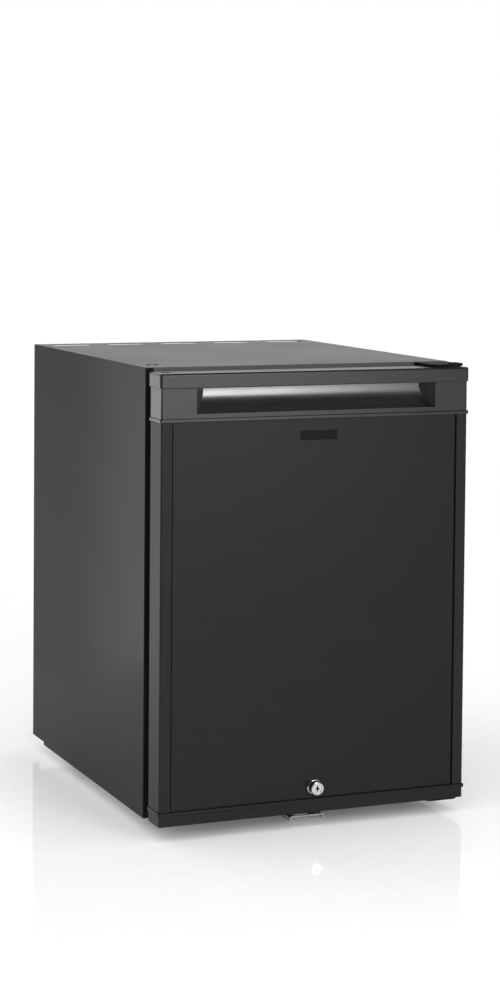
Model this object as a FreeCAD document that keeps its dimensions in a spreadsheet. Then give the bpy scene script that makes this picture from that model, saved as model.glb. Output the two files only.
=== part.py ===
import FreeCAD, Part
import os
import re
import Sketcher

# Absorption minibar fridge, in millimetres. +Z is up and the door faces -Y.
# The origin lies on the floor, under the middle of the whole fridge.

SIZES = (
    # Cabinet
    ("cab_width", 402, "outer width of the cabinet"),
    ("cab_height", 542, "height of the cabinet without its feet"),
    ("cab_depth", 446, "depth of the cabinet behind the door seal"),
    ("foot_height", 16, "floor to the underside of the cabinet"),
    ("skin", 0.8, "steel sheet of the outer panels"),
    ("panel_flange", 10, "inward fold along the edges of a side panel"),
    ("bend_round", 1.6, "outer radius of the folds of a side panel"),
    ("seam_gap", 0.5, "open seam round the top panel"),
    ("frame_depth", 6, "thickness of the front frame"),
    ("side_wall", 31, "outer face to inner liner face at a side"),
    ("top_wall", 33, "the same at the roof"),
    ("floor_wall", 35, "the same at the floor"),
    ("rear_wall", 34, "liner's back face to the rear panel's outer face"),
    ("bay_depth", 62, "open bay for the cooling unit, behind the rear panel"),
    ("liner_wall", 2, "wall of the plastic liner"),
    ("liner_flange", 10, "rim of the liner behind the front frame"),
    ("liner_corner", 12, "inner corner radius of liner and front frame"),
    ("base_overhang", 12, "bottom panel behind the rear panel"),
    ("base_step", 4, "side panels end this much higher round the bay"),
    # Vent slots over the bay
    ("vent_count", 5, "slots in the top panel"),
    ("vent_edge", 6, "row of slots to the cabinet's sides"),
    ("vent_land", 18, "sheet between two slots"),
    ("vent_width", 20, "along Y"),
    ("vent_margin", 18, "rear edge to the slots"),
    # Door
    ("door_depth", 36, "front face to back face"),
    ("gasket_gap", 18, "door back to cabinet front, filled by the seal"),
    ("door_lift", 2.5, "door's lower edge above the cabinet's"),
    ("door_drop", 3.5, "door's upper edge below the cabinet's"),
    ("trim_wall", 2, "wall of the moulded door trims and profiles"),
    ("profile_face", 14, "visible width of a side profile"),
    ("panel_thick", 3, "front panel of the door"),
    ("panel_tuck", 6, "front panel's ends inside the trims"),
    ("panel_gap", 0.5, "front panel's sides to the profile webs"),
    ("top_trim_height", 58, "whole height of the top trim"),
    ("bottom_trim_height", 17, "whole height of the bottom trim"),
    ("end_block", 25, "solid ends of both trims, round the hinge bores"),
    ("lip_height", 17.8, "rounded lip over the handle"),
    ("bead_height", 4.8, "bead along both trims"),
    ("lip_proud", 1.6, "lip and beads stand out this much"),
    ("edge_round", 2, "corner radius of the trims and profiles"),
    ("bead_round", 1.4, "edge radius of lip and beads"),
    ("lip_corner", 3.2, "corner radius of the lip"),
    ("lip_round", 2.6, "top edge radius of the lip"),
    # Handle recess
    ("recess_side", 44.5, "opening to the door's sides"),
    ("recess_sill", 10, "top trim's lower edge to the opening"),
    ("cup_depth", 15, "depth of the scoop under the lip"),
    ("cup_taper", 14.5, "ends of the scoop lean in this much at full depth"),
    ("cup_wall", 2.5, "wall of the scoop"),
    # Badge
    ("badge_width", 48, "blank plate along X"),
    ("badge_height", 11.5, "blank plate along Z"),
    ("badge_thick", 0.8, "plate's thickness"),
    ("badge_drop", 14, "top trim to the plate"),
    ("badge_shift", 2, "plate right of the middle"),
    # Door liner, seal and bins
    ("door_liner_inset", 6, "liner's edge inside the door's edge"),
    ("dike_side", 20, "raised middle inside the cavity at the sides"),
    ("dike_inset", 14, "raised middle inside the cavity at floor and roof"),
    ("dike_reach", 6, "raised middle inside the cavity, along Y"),
    ("gasket_inset", 13, "seal's outer edge inside the cabinet's edge"),
    ("gasket_width", 16, "seal across"),
    ("gasket_clear", 0.3, "seal to cabinet front"),
    ("gasket_base", 4, "foot of the seal"),
    ("gasket_neck", 3, "bellows of the seal"),
    ("neck_width", 8, "bellows across"),
    ("magnet_width", 9, "magnet strip across"),
    ("magnet_thick", 3, "magnet strip"),
    ("magnet_skin", 1.6, "seal's skin over the magnet"),
    ("magnet_end", 4, "welded corner of the seal, free of magnets"),
    ("bin_side", 12, "door bin inside the raised middle's sides"),
    ("bin_reach", 85, "rear of the bins behind the cabinet front"),
    ("bin_wall", 2, "wall of a bin"),
    ("bin_corner", 10, "corner radius of a bin"),
    ("lower_bin_lift", 12, "lower bin above the liner's floor"),
    ("lower_bin_height", 95, "lower bin"),
    ("upper_bin_lift", 262, "upper bin above the liner's floor"),
    ("upper_bin_height", 70, "upper bin"),
    # Hinges
    ("hinge_inset", 12, "hinge axis inside the door's edge"),
    ("hinge_setback", 18, "hinge axis behind the door's front"),
    ("hinge_plate", 3, "steel of the hinge plates"),
    ("hinge_gap", 0.5, "hinge plate to door"),
    ("hinge_width", 43, "hinge plates along X"),
    ("hinge_margin", 3, "hinge plates inside the cabinet's edge"),
    ("hinge_front", 6, "hinge plates behind the door's front"),
    ("hinge_corner", 7, "corner radius of the hinge plates"),
    ("leaf_gap", 1, "hinge leaf to the seal"),
    ("roll_radius", 1.8, "rolled end of the top hinge plate"),
    ("roll_length", 16, "rolled end along Y"),
    ("pin_radius", 4, "hinge pin"),
    ("pin_reach", 12.5, "pin inside its bush"),
    ("run_clear", 0.05, "radial clearance of turning fits"),
    ("bush_radius", 6.5, "hinge bush outside"),
    ("bush_length", 14, "hinge bush inside the trim"),
    ("bush_flange", 0.4, "flange of the bush, between door and plate"),
    ("flange_radius", 8.5, "flange of the bush"),
    ("rivet_radius", 5.5, "staked head of the pin"),
    ("rivet_height", 1.2, "staked head of the pin"),
    ("plug_sink", 2, "blank plug below the door's edge"),
    # Screws
    ("screw_radius", 2, "shank"),
    ("screw_length", 8, "shank below the head"),
    ("screw_head", 3.6, "radius of the head"),
    ("head_height", 2, "height of the head"),
    ("screw_fit", 0.1, "radial clearance of a screw hole"),
    # Lock
    ("lock_reach", 9, "lock face in front of the door"),
    ("lock_height", 33, "lock axis above the cabinet's underside"),
    ("bezel_radius", 9.6, "lock head's flange on the panel"),
    ("bezel_flange", 2.4, "thickness of that flange"),
    ("bezel_slope", 0.8, "flange's rim leans in"),
    ("neck_radius", 8.4, "lock head in front of the flange"),
    ("bezel_round", 1.2, "rounded rim of the lock's face"),
    ("bezel_break", 0.4, "middle of that rim, in from its corner"),
    ("barrel_radius", 8, "lock body through the door"),
    ("plug_radius", 5.6, "turning plug"),
    ("plug_recess", 0.6, "plug's face behind the rim"),
    ("key_length", 7, "keyway's long arm"),
    ("key_width", 1.8, "keyway's slot"),
    ("notch_half", 2.3, "keyway's short arm, from the middle"),
    ("key_depth", 4, "keyway's depth"),
    ("lock_depth", 30, "lock body behind the door's front"),
    ("nut_radius", 12, "nut behind the front panel"),
    ("nut_height", 4, "nut behind the front panel"),
    ("cam_length", 42, "axis to the cam's tip"),
    ("cam_half", 4, "half the cam's width"),
    ("cam_thick", 2.5, "cam plate"),
    ("cam_room", 2, "free space round the cam's sweep"),
    ("cam_screw_radius", 1.5, "screw that holds the cam"),
    ("cam_screw_depth", 8, "screw inside the plug"),
    ("cam_head_height", 1.8, "its head"),
    # Strike under the door
    ("strike_width", 46, "along X"),
    ("strike_shift", 2, "strike right of the middle"),
    ("strike_front", 26, "front edge behind the door's front"),
    ("strike_drop", 8, "plate below the cabinet"),
    ("strike_thick", 1.5, "steel of the strike"),
    ("strike_lip", 4.5, "folded ends of the plate"),
    ("strike_riser", 2, "riser behind the cabinet front"),
    ("strike_leaf", 28, "leaf under the base"),
    ("strike_screw", 18.5, "riser to the screws of the leaf"),
    # Feet
    ("foot_inset", 40, "foot axis inside the cabinet's sides and front"),
    ("foot_radius", 15, "foot pad"),
    ("pad_height", 10, "foot pad"),
    ("pad_rim", 5, "straight rim of the foot pad"),
    ("pad_crown", 8, "radius of the foot pad's top"),
    ("rear_foot_toe", 13.5, "radius of a rear foot on the floor"),
    ("stem_radius", 4, "screw stem"),
    ("stem_reach", 14, "stem inside the base"),
    ("socket_radius", 7, "threaded socket"),
    ("socket_flange", 11, "socket's flange under the base"),
    ("socket_length", 16, "socket inside the base"),
    ("flange_thick", 1.5, "socket's flange"),
    ("peg_radius", 5, "peg of a rear foot"),
    ("peg_reach", 10, "peg inside the base"),
    # Shelves
    ("rib_count", 4, "shelf ledges on each wall"),
    ("first_rib", 110, "liner floor to the lowest ledge's top"),
    ("rib_pitch", 75, "ledge to ledge"),
    ("rib_height", 6, "ledge along Z"),
    ("rib_reach", 8, "ledge along X"),
    ("rib_start", 95, "ledge's front end behind the liner's front"),
    ("shelf_gap", 2, "shelf to the side walls"),
    ("shelf_seat", 0.1, "shelf above its ledge"),
    ("shelf_front", 98, "shelf's front edge behind the liner's front"),
    ("shelf_back", 40, "shelf's rear edge before the liner's back"),
    ("rod_radius", 2.5, "shelf's outer wire"),
    ("wire_radius", 1.5, "shelf's cross wires"),
    ("wire_sink", 1, "cross wires welded into the outer wire"),
    ("wire_count", 13, "cross wires"),
    # Evaporator in the cavity
    ("evap_width", 190, "finned plate along X"),
    ("evap_height", 110, "finned plate along Z"),
    ("evap_drop", 40, "roof of the cavity to the finned plate"),
    ("evap_plate", 4, "finned plate"),
    ("evap_fin", 1.6, "one fin along X"),
    ("evap_fin_depth", 26, "one fin along Y"),
    ("evap_fins", 20, "number of fins"),
    ("block_half", 30, "half the block through the rear wall"),
    ("block_fit", 0.3, "gap round the block"),
    ("tray_width", 204, "drip tray along X"),
    ("tray_depth", 36, "drip tray along Y"),
    ("tray_height", 14, "drip tray along Z"),
    ("tray_gap", 6, "fins to the drip tray"),
    ("tray_wall", 1.6, "wall of the drip tray"),
    # Control box in the cavity
    ("box_side", 20, "control box to the right wall of the cavity"),
    ("box_width", 115, "along X"),
    ("box_setback", 75, "behind the liner's front"),
    ("box_depth", 80, "along Y"),
    ("box_height", 32, "along Z"),
    ("box_wall", 2, "wall of the box"),
    ("knob_offset", 30, "knob axis from the box's right side"),
    ("knob_radius", 12, "knob"),
    ("knob_depth", 11, "knob along Y"),
    ("dial_depth", 3.7, "round dial behind the finger grip"),
    ("grip_radius", 10.2, "rounded ends of the finger grip"),
    ("grip_half", 3, "half the finger grip's width"),
    ("knob_gap", 0.3, "knob to the box"),
    ("shaft_radius", 3, "knob's shaft"),
    ("shaft_length", 14, "shaft inside the box"),
    ("switch_half", 13, "half the thermostat switch"),
    ("switch_depth", 30, "thermostat switch along Y"),
    ("lens_width", 52, "lamp lens along X"),
    ("lens_depth", 44, "lamp lens along Y"),
    ("lens_margin", 10, "lens from the box's left side"),
    ("lens_proud", 2, "lens below the box"),
    ("board_thick", 1.6, "lamp board"),
    # Cooling unit in the bay
    ("tube_radius", 8, "tubes of the cooling unit"),
    ("tube_setback", 31, "tube plane behind the rear panel"),
    ("tube_bend", 20, "bend radius of the tubes"),
    ("boiler_gap", 6, "boiler's jacket to the terminal box"),
    ("boiler_radius", 13, "boiler tube"),
    ("boiler_bottom", 72, "boiler's end above the base"),
    ("boiler_top", 330, "boiler's upper end above the base"),
    ("jacket_radius", 26, "insulating jacket"),
    ("jacket_bottom", 82, "jacket above the base"),
    ("jacket_height", 215, "jacket"),
    ("jacket_fit", 0.2, "jacket to what it holds"),
    ("heater_radius", 4.5, "heating cartridge"),
    ("heater_length", 130, "heating cartridge"),
    ("heater_tail", 12, "cartridge below the jacket"),
    ("heater_gap", 0.8, "cartridge to the boiler"),
    ("pipe_radius", 6, "liquid pipe"),
    ("vessel_radius", 22, "absorber vessel"),
    ("vessel_height", 45, "vessel's axis above the base"),
    ("vessel_left", 50, "vessel's left end, right of the boiler's axis"),
    ("vessel_right", 83, "vessel's right end to the cabinet's right side"),
    ("vessel_round", 8, "rounded ends of the vessel"),
    ("coil_left", 62, "coil's left bends, right of the boiler's axis"),
    ("coil_right", 51, "coil's right bends to the cabinet's right side"),
    ("coil_first", 100, "lowest run of the coil above the base"),
    ("coil_pitch", 42, "run to run"),
    ("coil_turns", 2, "times that the coil runs to and fro, before its last run"),
    ("weld_drop", 32, "evaporator's middle to the weld between coil and condenser tube"),
    ("condenser_rise", 70, "evaporator's middle to the condenser"),
    ("condenser_right", 49, "condenser's right bend to the cabinet's right side"),
    ("fin_margin", 32, "first and last condenser fin to the upright tubes"),
    ("fin_count", 22, "condenser fins"),
    ("fin_half", 21, "half a square fin"),
    ("fin_thick", 0.8, "fin sheet"),
    ("fin_fit", 0.05, "fin to tube"),
    ("channel_half", 12, "half the coil bracket's width"),
    ("channel_wall", 1.5, "steel of the brackets"),
    ("channel_foot", 12, "screwed feet of the coil bracket"),
    ("channel_across", 50, "coil bracket right of the middle"),
    ("channel_margin", 14, "coil bracket past the lowest and highest runs"),
    ("saddle_half", 16, "half the width of a saddle"),
    ("saddle_height", 24, "height of a saddle"),
    ("tube_seat", 0.2, "tube or vessel to its bracket"),
    # Electrical box in the bay
    ("terminal_side", 9, "terminal box to the cabinet's left side"),
    ("terminal_width", 48, "along X"),
    ("terminal_depth", 34, "along Y"),
    ("terminal_bottom", 36, "above the base"),
    ("terminal_height", 80, "along Z"),
    ("terminal_wall", 2, "wall of the box"),
    ("gland_height", 24, "gland axis above the box's bottom"),
    ("gland_radius", 9, "gland's nut"),
    ("gland_length", 14, "gland outside the box"),
    ("gland_bore", 3.75, "cable passage"),
    ("gland_spigot", 6, "gland through the box's wall"),
    # Blanking plugs on the roof
    ("dot_radius", 3.2, "cap of a plug"),
    ("dot_height", 0.6, "cap of a plug"),
    ("dot_peg", 2, "radius of its peg"),
    ("dot_reach", 6, "peg below the roof"),
    ("dot_inset", 20, "first plug inside the left edge"),
    ("dot_pitch", 9, "plug to plug"),
    ("dot_setback", 45, "plugs behind the cabinet front"),
)

ALIASES = {alias for alias, number, note in SIZES}

# Lines that several pieces share, as expressions of the sheet's cells
HALF = "(cab_width / 2)"
INSIDE = "(cab_width / 2 - side_wall)"
DOOR_FRONT = "((lock_reach - door_depth - gasket_gap - cab_depth) / 2)"
DOOR_REAR = f"({DOOR_FRONT} + door_depth)"
CAB_FRONT = f"({DOOR_REAR} + gasket_gap)"
CAB_REAR = f"({CAB_FRONT} + cab_depth)"
BAY_FRONT = f"({CAB_REAR} - bay_depth)"
LINER_FRONT = f"({CAB_FRONT} + frame_depth)"
LINER_BACK = f"({BAY_FRONT} - rear_wall)"
BASE = "foot_height"
ROOF = "(foot_height + cab_height)"
FLOOR = "(foot_height + floor_wall)"
CEILING = "(foot_height + cab_height - top_wall)"
DOOR_BOTTOM = "(foot_height + door_lift)"
DOOR_TOP = "(foot_height + cab_height - door_drop)"
TRIM_BOTTOM = f"({DOOR_TOP} - top_trim_height)"
LOWER_TRIM_TOP = f"({DOOR_BOTTOM} + bottom_trim_height)"
SILL = f"({TRIM_BOTTOM} + recess_sill)"
LIP_BOTTOM = f"({DOOR_TOP} - lip_height)"
TRIM_BACK = f"({DOOR_FRONT} + trim_wall)"
PANEL_BACK = f"({TRIM_BACK} + panel_thick)"
HINGE_X = f"({HALF} - hinge_inset)"
HINGE_Y = f"({DOOR_FRONT} + hinge_setback)"
LOCK_Z = "(foot_height + lock_height)"
LOCK_REAR = f"({DOOR_FRONT} + lock_depth)"
TUBE_Y = f"({BAY_FRONT} + tube_setback)"
EVAP_TOP = f"({CEILING} - evap_drop)"
EVAP_MIDDLE = f"({EVAP_TOP} - evap_height / 2)"

doc = FreeCAD.newDocument("minibar_fridge")
sheet = doc.addObject("Spreadsheet::Sheet", "Size")
for row, (alias, number, note) in enumerate(SIZES, start=1):
    sheet.set(f"A{row}", note)
    sheet.set(f"B{row}", str(number))
    sheet.setAlias(f"B{row}", alias)
doc.recompute()

pieces = []


# Expressions and bindings

def cells(text):
    """The expression with each alias written as a cell of the sheet."""
    return re.sub(r"[a-z][a-z_]*", lambda word: "Size." + word[0] if word[0] in ALIASES else word[0], text)


def value(text):
    return float(sheet.evalExpression(cells(text)))


def count(alias):
    return round(value(alias))


def bind(thing, path, text):
    thing.setExpression(path, cells(text))


def keep(thing, label):
    """Makes a sub-part of the finished object, with the name of its file."""
    thing.Label = label
    pieces.append(thing)
    return thing


# Part primitives and booleans

AXES = "xyz"
TURNS = {
    "x": FreeCAD.Rotation(FreeCAD.Vector(0, 1, 0), 90),
    "y": FreeCAD.Rotation(FreeCAD.Vector(1, 0, 0), -90),
    "z": FreeCAD.Rotation(),
}


def block(x, y, z):
    box = doc.addObject("Part::Box", "Block")
    for size, axis, (low, high) in zip(("Length", "Width", "Height"), AXES, (x, y, z)):
        bind(box, size, f"({high}) - ({low})")
        bind(box, f"Placement.Base.{axis}", low)
    return box


def rod(along, radius, start, end, at):
    """A cylinder along one axis; at holds its place on the other two, in x, y, z order."""
    cylinder = doc.addObject("Part::Cylinder", "Rod")
    cylinder.Placement = FreeCAD.Placement(FreeCAD.Vector(), TURNS[along])
    bind(cylinder, "Radius", radius)
    bind(cylinder, "Height", f"({end}) - ({start})")
    others = [axis for axis in AXES if axis != along]
    for axis, place in zip([along] + others, (start,) + tuple(at)):
        bind(cylinder, f"Placement.Base.{axis}", place)
    return cylinder


def fuse(*shapes):
    joined = doc.addObject("Part::MultiFuse", "Fuse")
    joined.Shapes = list(shapes)
    return joined


def cut(base, *tools):
    rest = doc.addObject("Part::Cut", "Cut")
    rest.Base = base
    rest.Tool = tools[0] if len(tools) == 1 else fuse(*tools)
    return rest


def group(*solids):
    """Separate like solids that share one node."""
    compound = doc.addObject("Part::Compound", "Group")
    compound.Links = list(solids)
    return compound


# PartDesign bodies

PLANES = {"XY": 1, "XZ": -1, "YZ": 1}


def new_body():
    return doc.addObject("PartDesign::Body", "Body")


def origin_feature(body, role):
    return next(feature for feature in body.Origin.OriginFeatures if feature.Role == role)


def sketch_at(body, plane, place="0"):
    """A sketch parallel to an origin plane, at a place along the third axis."""
    sketch = body.newObject("Sketcher::SketchObject", "Sketch")
    sketch.AttachmentSupport = (origin_feature(body, plane + "_Plane"), [""])
    sketch.MapMode = "FlatFace"
    bind(sketch, "AttachmentOffset.Base.z", f"{PLANES[plane]} * ({place})")
    return sketch


def pin_point(sketch, line, end, u, v):
    """Fixes one end of a line at the two given expressions."""
    for kind, text in (("DistanceX", u), ("DistanceY", v)):
        index = sketch.addConstraint(Sketcher.Constraint(kind, line, end, value(text)))
        bind(sketch, f"Constraints[{index}]", text)


def outline(sketch, corners):
    """A closed outline of straight lines."""
    points = [FreeCAD.Vector(value(u), value(v), 0) for u, v in corners]
    first = sketch.GeometryCount
    last = first + len(corners) - 1
    for start, end in zip(points, points[1:] + points[:1]):
        sketch.addGeometry(Part.LineSegment(start, end), False)
    for line, (u, v) in enumerate(corners, start=first):
        before = last if line == first else line - 1
        sketch.addConstraint(Sketcher.Constraint("Coincident", before, 2, line, 1))
        pin_point(sketch, line, 1, u, v)


def circle(sketch, u, v, radius):
    middle = FreeCAD.Vector(value(u), value(v), 0)
    line = sketch.addGeometry(Part.Circle(middle, FreeCAD.Vector(0, 0, 1), value(radius)), False)
    pin_point(sketch, line, 3, u, v)
    index = sketch.addConstraint(Sketcher.Constraint("Radius", line, value(radius)))
    bind(sketch, f"Constraints[{index}]", radius)


def rectangle(u, v):
    """Corners of a rectangle between two pairs of expressions."""
    return ((u[0], v[0]), (u[1], v[0]), (u[1], v[1]), (u[0], v[1]))


def both(half):
    """A pair of expressions on both sides of the middle."""
    return (f"-({half})", half)


def pad(body, plane, span, *outlines):
    sketch = sketch_at(body, plane, span[0])
    for corners in outlines:
        outline(sketch, corners)
    feature = body.newObject("PartDesign::Pad", "Pad")
    feature.Profile = sketch
    feature.Reversed = PLANES[plane] < 0
    bind(feature, "Length", f"({span[1]}) - ({span[0]})")
    doc.recompute()
    return feature


def pocket(body, plane, span, *outlines, holes=()):
    """Takes outlines and round holes out of a body, between two places along the third axis."""
    before = body.Shape.Volume
    sketch = sketch_at(body, plane, span[0])
    for corners in outlines:
        outline(sketch, corners)
    for hole in holes:
        circle(sketch, *hole)
    feature = body.newObject("PartDesign::Pocket", "Pocket")
    feature.Profile = sketch
    feature.Reversed = PLANES[plane] > 0
    bind(feature, "Length", f"({span[1]}) - ({span[0]})")
    doc.recompute()
    if body.Shape.Volume >= before:
        raise RuntimeError("a pocket took nothing away")
    return feature


def fillet(body, radius, along, *places):
    """Rounds the straight edges along one axis whose middles lie at the given x, y, z (None is any)."""
    base = body.Tip
    names = []
    for index, edge in enumerate(base.Shape.Edges, start=1):
        if edge.Curve.TypeId != "Part::GeomLine":
            continue
        if abs(getattr(edge.tangentAt(edge.FirstParameter), along)) < 0.999:
            continue
        middle = edge.CenterOfMass
        for place in places:
            wanted = [text is None or abs(getattr(middle, axis) - value(text)) < 0.01
                      for axis, text in zip(AXES, place)]
            if all(wanted) and f"Edge{index}" not in names:
                names.append(f"Edge{index}")
    if not names:
        raise RuntimeError("no edge to round")
    feature = body.newObject("PartDesign::Fillet", "Fillet")
    feature.Base = (base, names)
    bind(feature, "Radius", radius)
    doc.recompute()
    return feature


def turned(profile, at, facing="up"):
    """A body of revolution; its profile gives radius and height along the axis from the place at."""
    body = new_body()
    sketch = sketch_at(body, "XZ")
    outline(sketch, profile)
    feature = body.newObject("PartDesign::Revolution", "Revolution")
    feature.Profile = sketch
    feature.ReferenceAxis = (sketch, ["V_Axis"])
    feature.Angle = 360
    facings = {
        "up": FreeCAD.Rotation(),
        "front": FreeCAD.Rotation(FreeCAD.Vector(1, 0, 0), 90),
        "right": FreeCAD.Rotation(FreeCAD.Vector(0, 1, 0), 90),
    }
    body.Placement = FreeCAD.Placement(FreeCAD.Vector(), facings[facing])
    for axis, place in zip(AXES, at):
        bind(body, f"Placement.Base.{axis}", place)
    doc.recompute()
    return body


def tube(points, radius, bend):
    """A round bar along straight runs with tangent bends; its sizes are read from the sheet."""
    corners = [FreeCAD.Vector(*(value(text) for text in point)) for point in points]
    turn = value(bend)
    edges = []
    start = corners[0]
    for before, corner, after in zip(corners, corners[1:], corners[2:]):
        towards = (before - corner).normalize()
        away = (after - corner).normalize()
        inner = (towards + away).normalize()
        first = corner + towards * turn
        last = corner + away * turn
        middle = corner + inner * (turn * (2 ** 0.5 - 1))
        edges.append(Part.LineSegment(start, first).toShape())
        edges.append(Part.Arc(first, middle, last).toShape())
        start = last
    edges.append(Part.LineSegment(start, corners[-1]).toShape())
    heading = (corners[1] - corners[0]).normalize()
    section = Part.Wire(Part.makeCircle(value(radius), corners[0], heading))
    feature = doc.addObject("Part::Feature", "Tube")
    feature.Shape = Part.Wire(edges).makePipeShell([section], True, False)
    return feature


# Screws, all of one kind

def screw_parts(along, seat, way, at):
    """Head and shank of a screw; its head sits on the seat and its shank points the way of the sign."""
    if way > 0:
        head = rod(along, "screw_head", f"{seat} - head_height", seat, at)
        shank = rod(along, "screw_radius", seat, f"{seat} + screw_length", at)
    else:
        head = rod(along, "screw_head", seat, f"{seat} + head_height", at)
        shank = rod(along, "screw_radius", f"{seat} - screw_length", seat, at)
    return fuse(head, shank)


def screw_hole(along, seat, way, at):
    start, end = (seat, f"{seat} + screw_length") if way > 0 else (f"{seat} - screw_length", seat)
    return rod(along, "screw_radius + screw_fit", start, end, at)


LEAF_HEIGHT = "(gasket_inset - leaf_gap)"
TOP_PLATE = (f"({DOOR_TOP} + hinge_gap)", f"({DOOR_TOP} + hinge_gap + hinge_plate)")
BOTTOM_PLATE = (f"({DOOR_BOTTOM} - hinge_gap - hinge_plate)", f"({DOOR_BOTTOM} - hinge_gap)")
HINGE_LEFT = f"({HALF} - hinge_margin - hinge_width)"
HINGE_RIGHT = f"({HALF} - hinge_margin)"
CHANNEL_FOOT_X = "(channel_half + channel_foot / 2)"
COIL_TOP = "(foot_height + coil_first + coil_pitch * 2 * coil_turns)"


def screw_places():
    """Axis, seat, direction of the shank and place of every screw."""
    places = []
    low = f"({BOTTOM_PLATE[1]} + {BASE} + {LEAF_HEIGHT}) / 2"
    high = f"({TOP_PLATE[0]} + {ROOF} - {LEAF_HEIGHT}) / 2"
    for height in (low, high):
        for share in ("1 / 4", "3 / 4"):
            across = f"{HINGE_LEFT} + hinge_width * {share}"
            places.append(("y", f"{CAB_FRONT} - hinge_plate", 1, (across, height)))
    for side in (-1, 1):
        across = f"strike_shift + {side} * strike_width / 4"
        depth = f"{CAB_FRONT} + strike_riser + strike_screw"
        places.append(("z", f"{BASE} - strike_thick", 1, (across, depth)))
    for height in ("foot_height + coil_first", COIL_TOP):
        for side in (-1, 1):
            across = f"channel_across + {side} * {CHANNEL_FOOT_X}"
            places.append(("y", f"{BAY_FRONT} + channel_wall", -1, (across, height)))
    return places


def screws():
    keep(group(*(screw_parts(*place) for place in screw_places())), "cabinet_screws")


def screw_holes():
    return [screw_hole(*place) for place in screw_places()]


# Cabinet

def side_panel(side, label):
    """A steel side with folded front and rear edges."""
    def across(inward):
        return f"{side} * ({HALF} - {inward})"

    body = new_body()
    pad(body, "XY", (BASE, ROOF), (
        (across("0"), CAB_FRONT),
        (across("panel_flange"), CAB_FRONT),
        (across("panel_flange"), f"{CAB_FRONT} + skin"),
        (across("skin"), f"{CAB_FRONT} + skin"),
        (across("skin"), f"{CAB_REAR} - skin"),
        (across("panel_flange"), f"{CAB_REAR} - skin"),
        (across("panel_flange"), CAB_REAR),
        (across("0"), CAB_REAR),
    ))
    fillet(body, "bend_round", "z", (across("0"), CAB_FRONT, None), (across("0"), CAB_REAR, None))
    pocket(body, "XY", (BASE, f"{BASE} + base_step"), rectangle(
        (across("-skin"), across("panel_flange + skin")),
        (f"{BAY_FRONT} + base_overhang", f"{CAB_REAR} + skin"),
    ))
    keep(body, label)


VENT_PITCH = "((cab_width - 2 * vent_edge) / vent_count)"


def top_panel():
    edge = f"{HALF} - skin - seam_gap"
    span = (f"{ROOF} - skin", ROOF)
    plate = block(both(edge), (f"{LINER_FRONT} + seam_gap", f"{CAB_REAR} - skin - seam_gap"), span)
    slots = []
    slot_y = f"{CAB_REAR} - vent_margin - vent_width / 2"
    for index in range(count("vent_count")):
        middle = f"{VENT_PITCH} * ({index} - (vent_count - 1) / 2)"
        straight = f"({VENT_PITCH} - vent_land - vent_width) / 2"
        slots.append(block((f"{middle} - {straight}", f"{middle} + {straight}"),
                           (f"{slot_y} - vent_width / 2", f"{slot_y} + vent_width / 2"), span))
        for end in (-1, 1):
            slots.append(rod("z", "vent_width / 2", *span, (f"{middle} + {end} * {straight}", slot_y)))
    keep(cut(plate, *slots, *dot_pegs()), "top_panel")


def dot_places():
    depth = f"{CAB_FRONT} + dot_setback"
    return [(f"dot_inset + {index} * dot_pitch - {HALF}", depth) for index in range(2)]


def dot_pegs():
    return [rod("z", "dot_peg", f"{ROOF} - dot_reach", ROOF, place) for place in dot_places()]


def blanking_plugs():
    """Caps over the screw holes of a hinge fitted on the other side."""
    caps = [rod("z", "dot_radius", ROOF, f"{ROOF} + dot_height", place) for place in dot_places()]
    keep(group(*(fuse(cap, peg) for cap, peg in zip(caps, dot_pegs()))), "blanking_plugs")


def foot_places():
    front = f"{CAB_FRONT} + foot_inset"
    rear = f"{BAY_FRONT} - foot_inset"
    return {row: [(f"{side} * ({HALF} - foot_inset)", depth) for side in (-1, 1)]
            for row, depth in (("front", front), ("rear", rear))}


def foot_bores(height):
    """Room in the base for the foot sockets and the pegs of the rear feet."""
    places = foot_places()
    span = (BASE, f"{BASE} + {height}")
    sockets = [rod("z", "socket_radius", *span, place) for place in places["front"]]
    pegs = [rod("z", "peg_radius", *span, place) for place in places["rear"]]
    return sockets + pegs


def bottom_panel():
    length = (LINER_FRONT, f"{BAY_FRONT} + base_overhang")
    plate = block(both(f"{HALF} - skin"), length, (BASE, f"{BASE} + skin"))
    keep(cut(plate, *foot_bores("skin"), *screw_holes()), "bottom_panel")


def wall_passage(gap, start, end):
    """The way through the rear wall for the evaporator block."""
    half = f"block_half + {gap}"
    return block(both(half), (start, end), (f"{EVAP_MIDDLE} - ({half})", f"{EVAP_MIDDLE} + ({half})"))


def rear_panel():
    sheet_span = (f"{BAY_FRONT} - skin", BAY_FRONT)
    plate = block(both(f"{HALF} - skin"), sheet_span, (f"{BASE} + skin", f"{ROOF} - skin"))
    passage = wall_passage("block_fit", *sheet_span)
    keep(cut(plate, passage, *screw_holes()), "rear_panel")


def cavity_corners():
    return [(side, None, height) for side in both(INSIDE) for height in (FLOOR, CEILING)]


def front_frame():
    """The cabinet's steel front, which the door seal closes on."""
    opening = rectangle(both(INSIDE), (FLOOR, CEILING))
    body = new_body()
    pad(body, "XZ", (f"{CAB_FRONT} + skin", LINER_FRONT),
        rectangle(both(f"{HALF} - skin"), (BASE, ROOF)), opening)
    pad(body, "XZ", (CAB_FRONT, f"{CAB_FRONT} + skin"),
        rectangle(both(f"{HALF} - panel_flange"), (BASE, ROOF)), opening)
    fillet(body, "liner_corner", "y", *cavity_corners())
    keep(cut(body, *screw_holes()), "front_frame")


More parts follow.
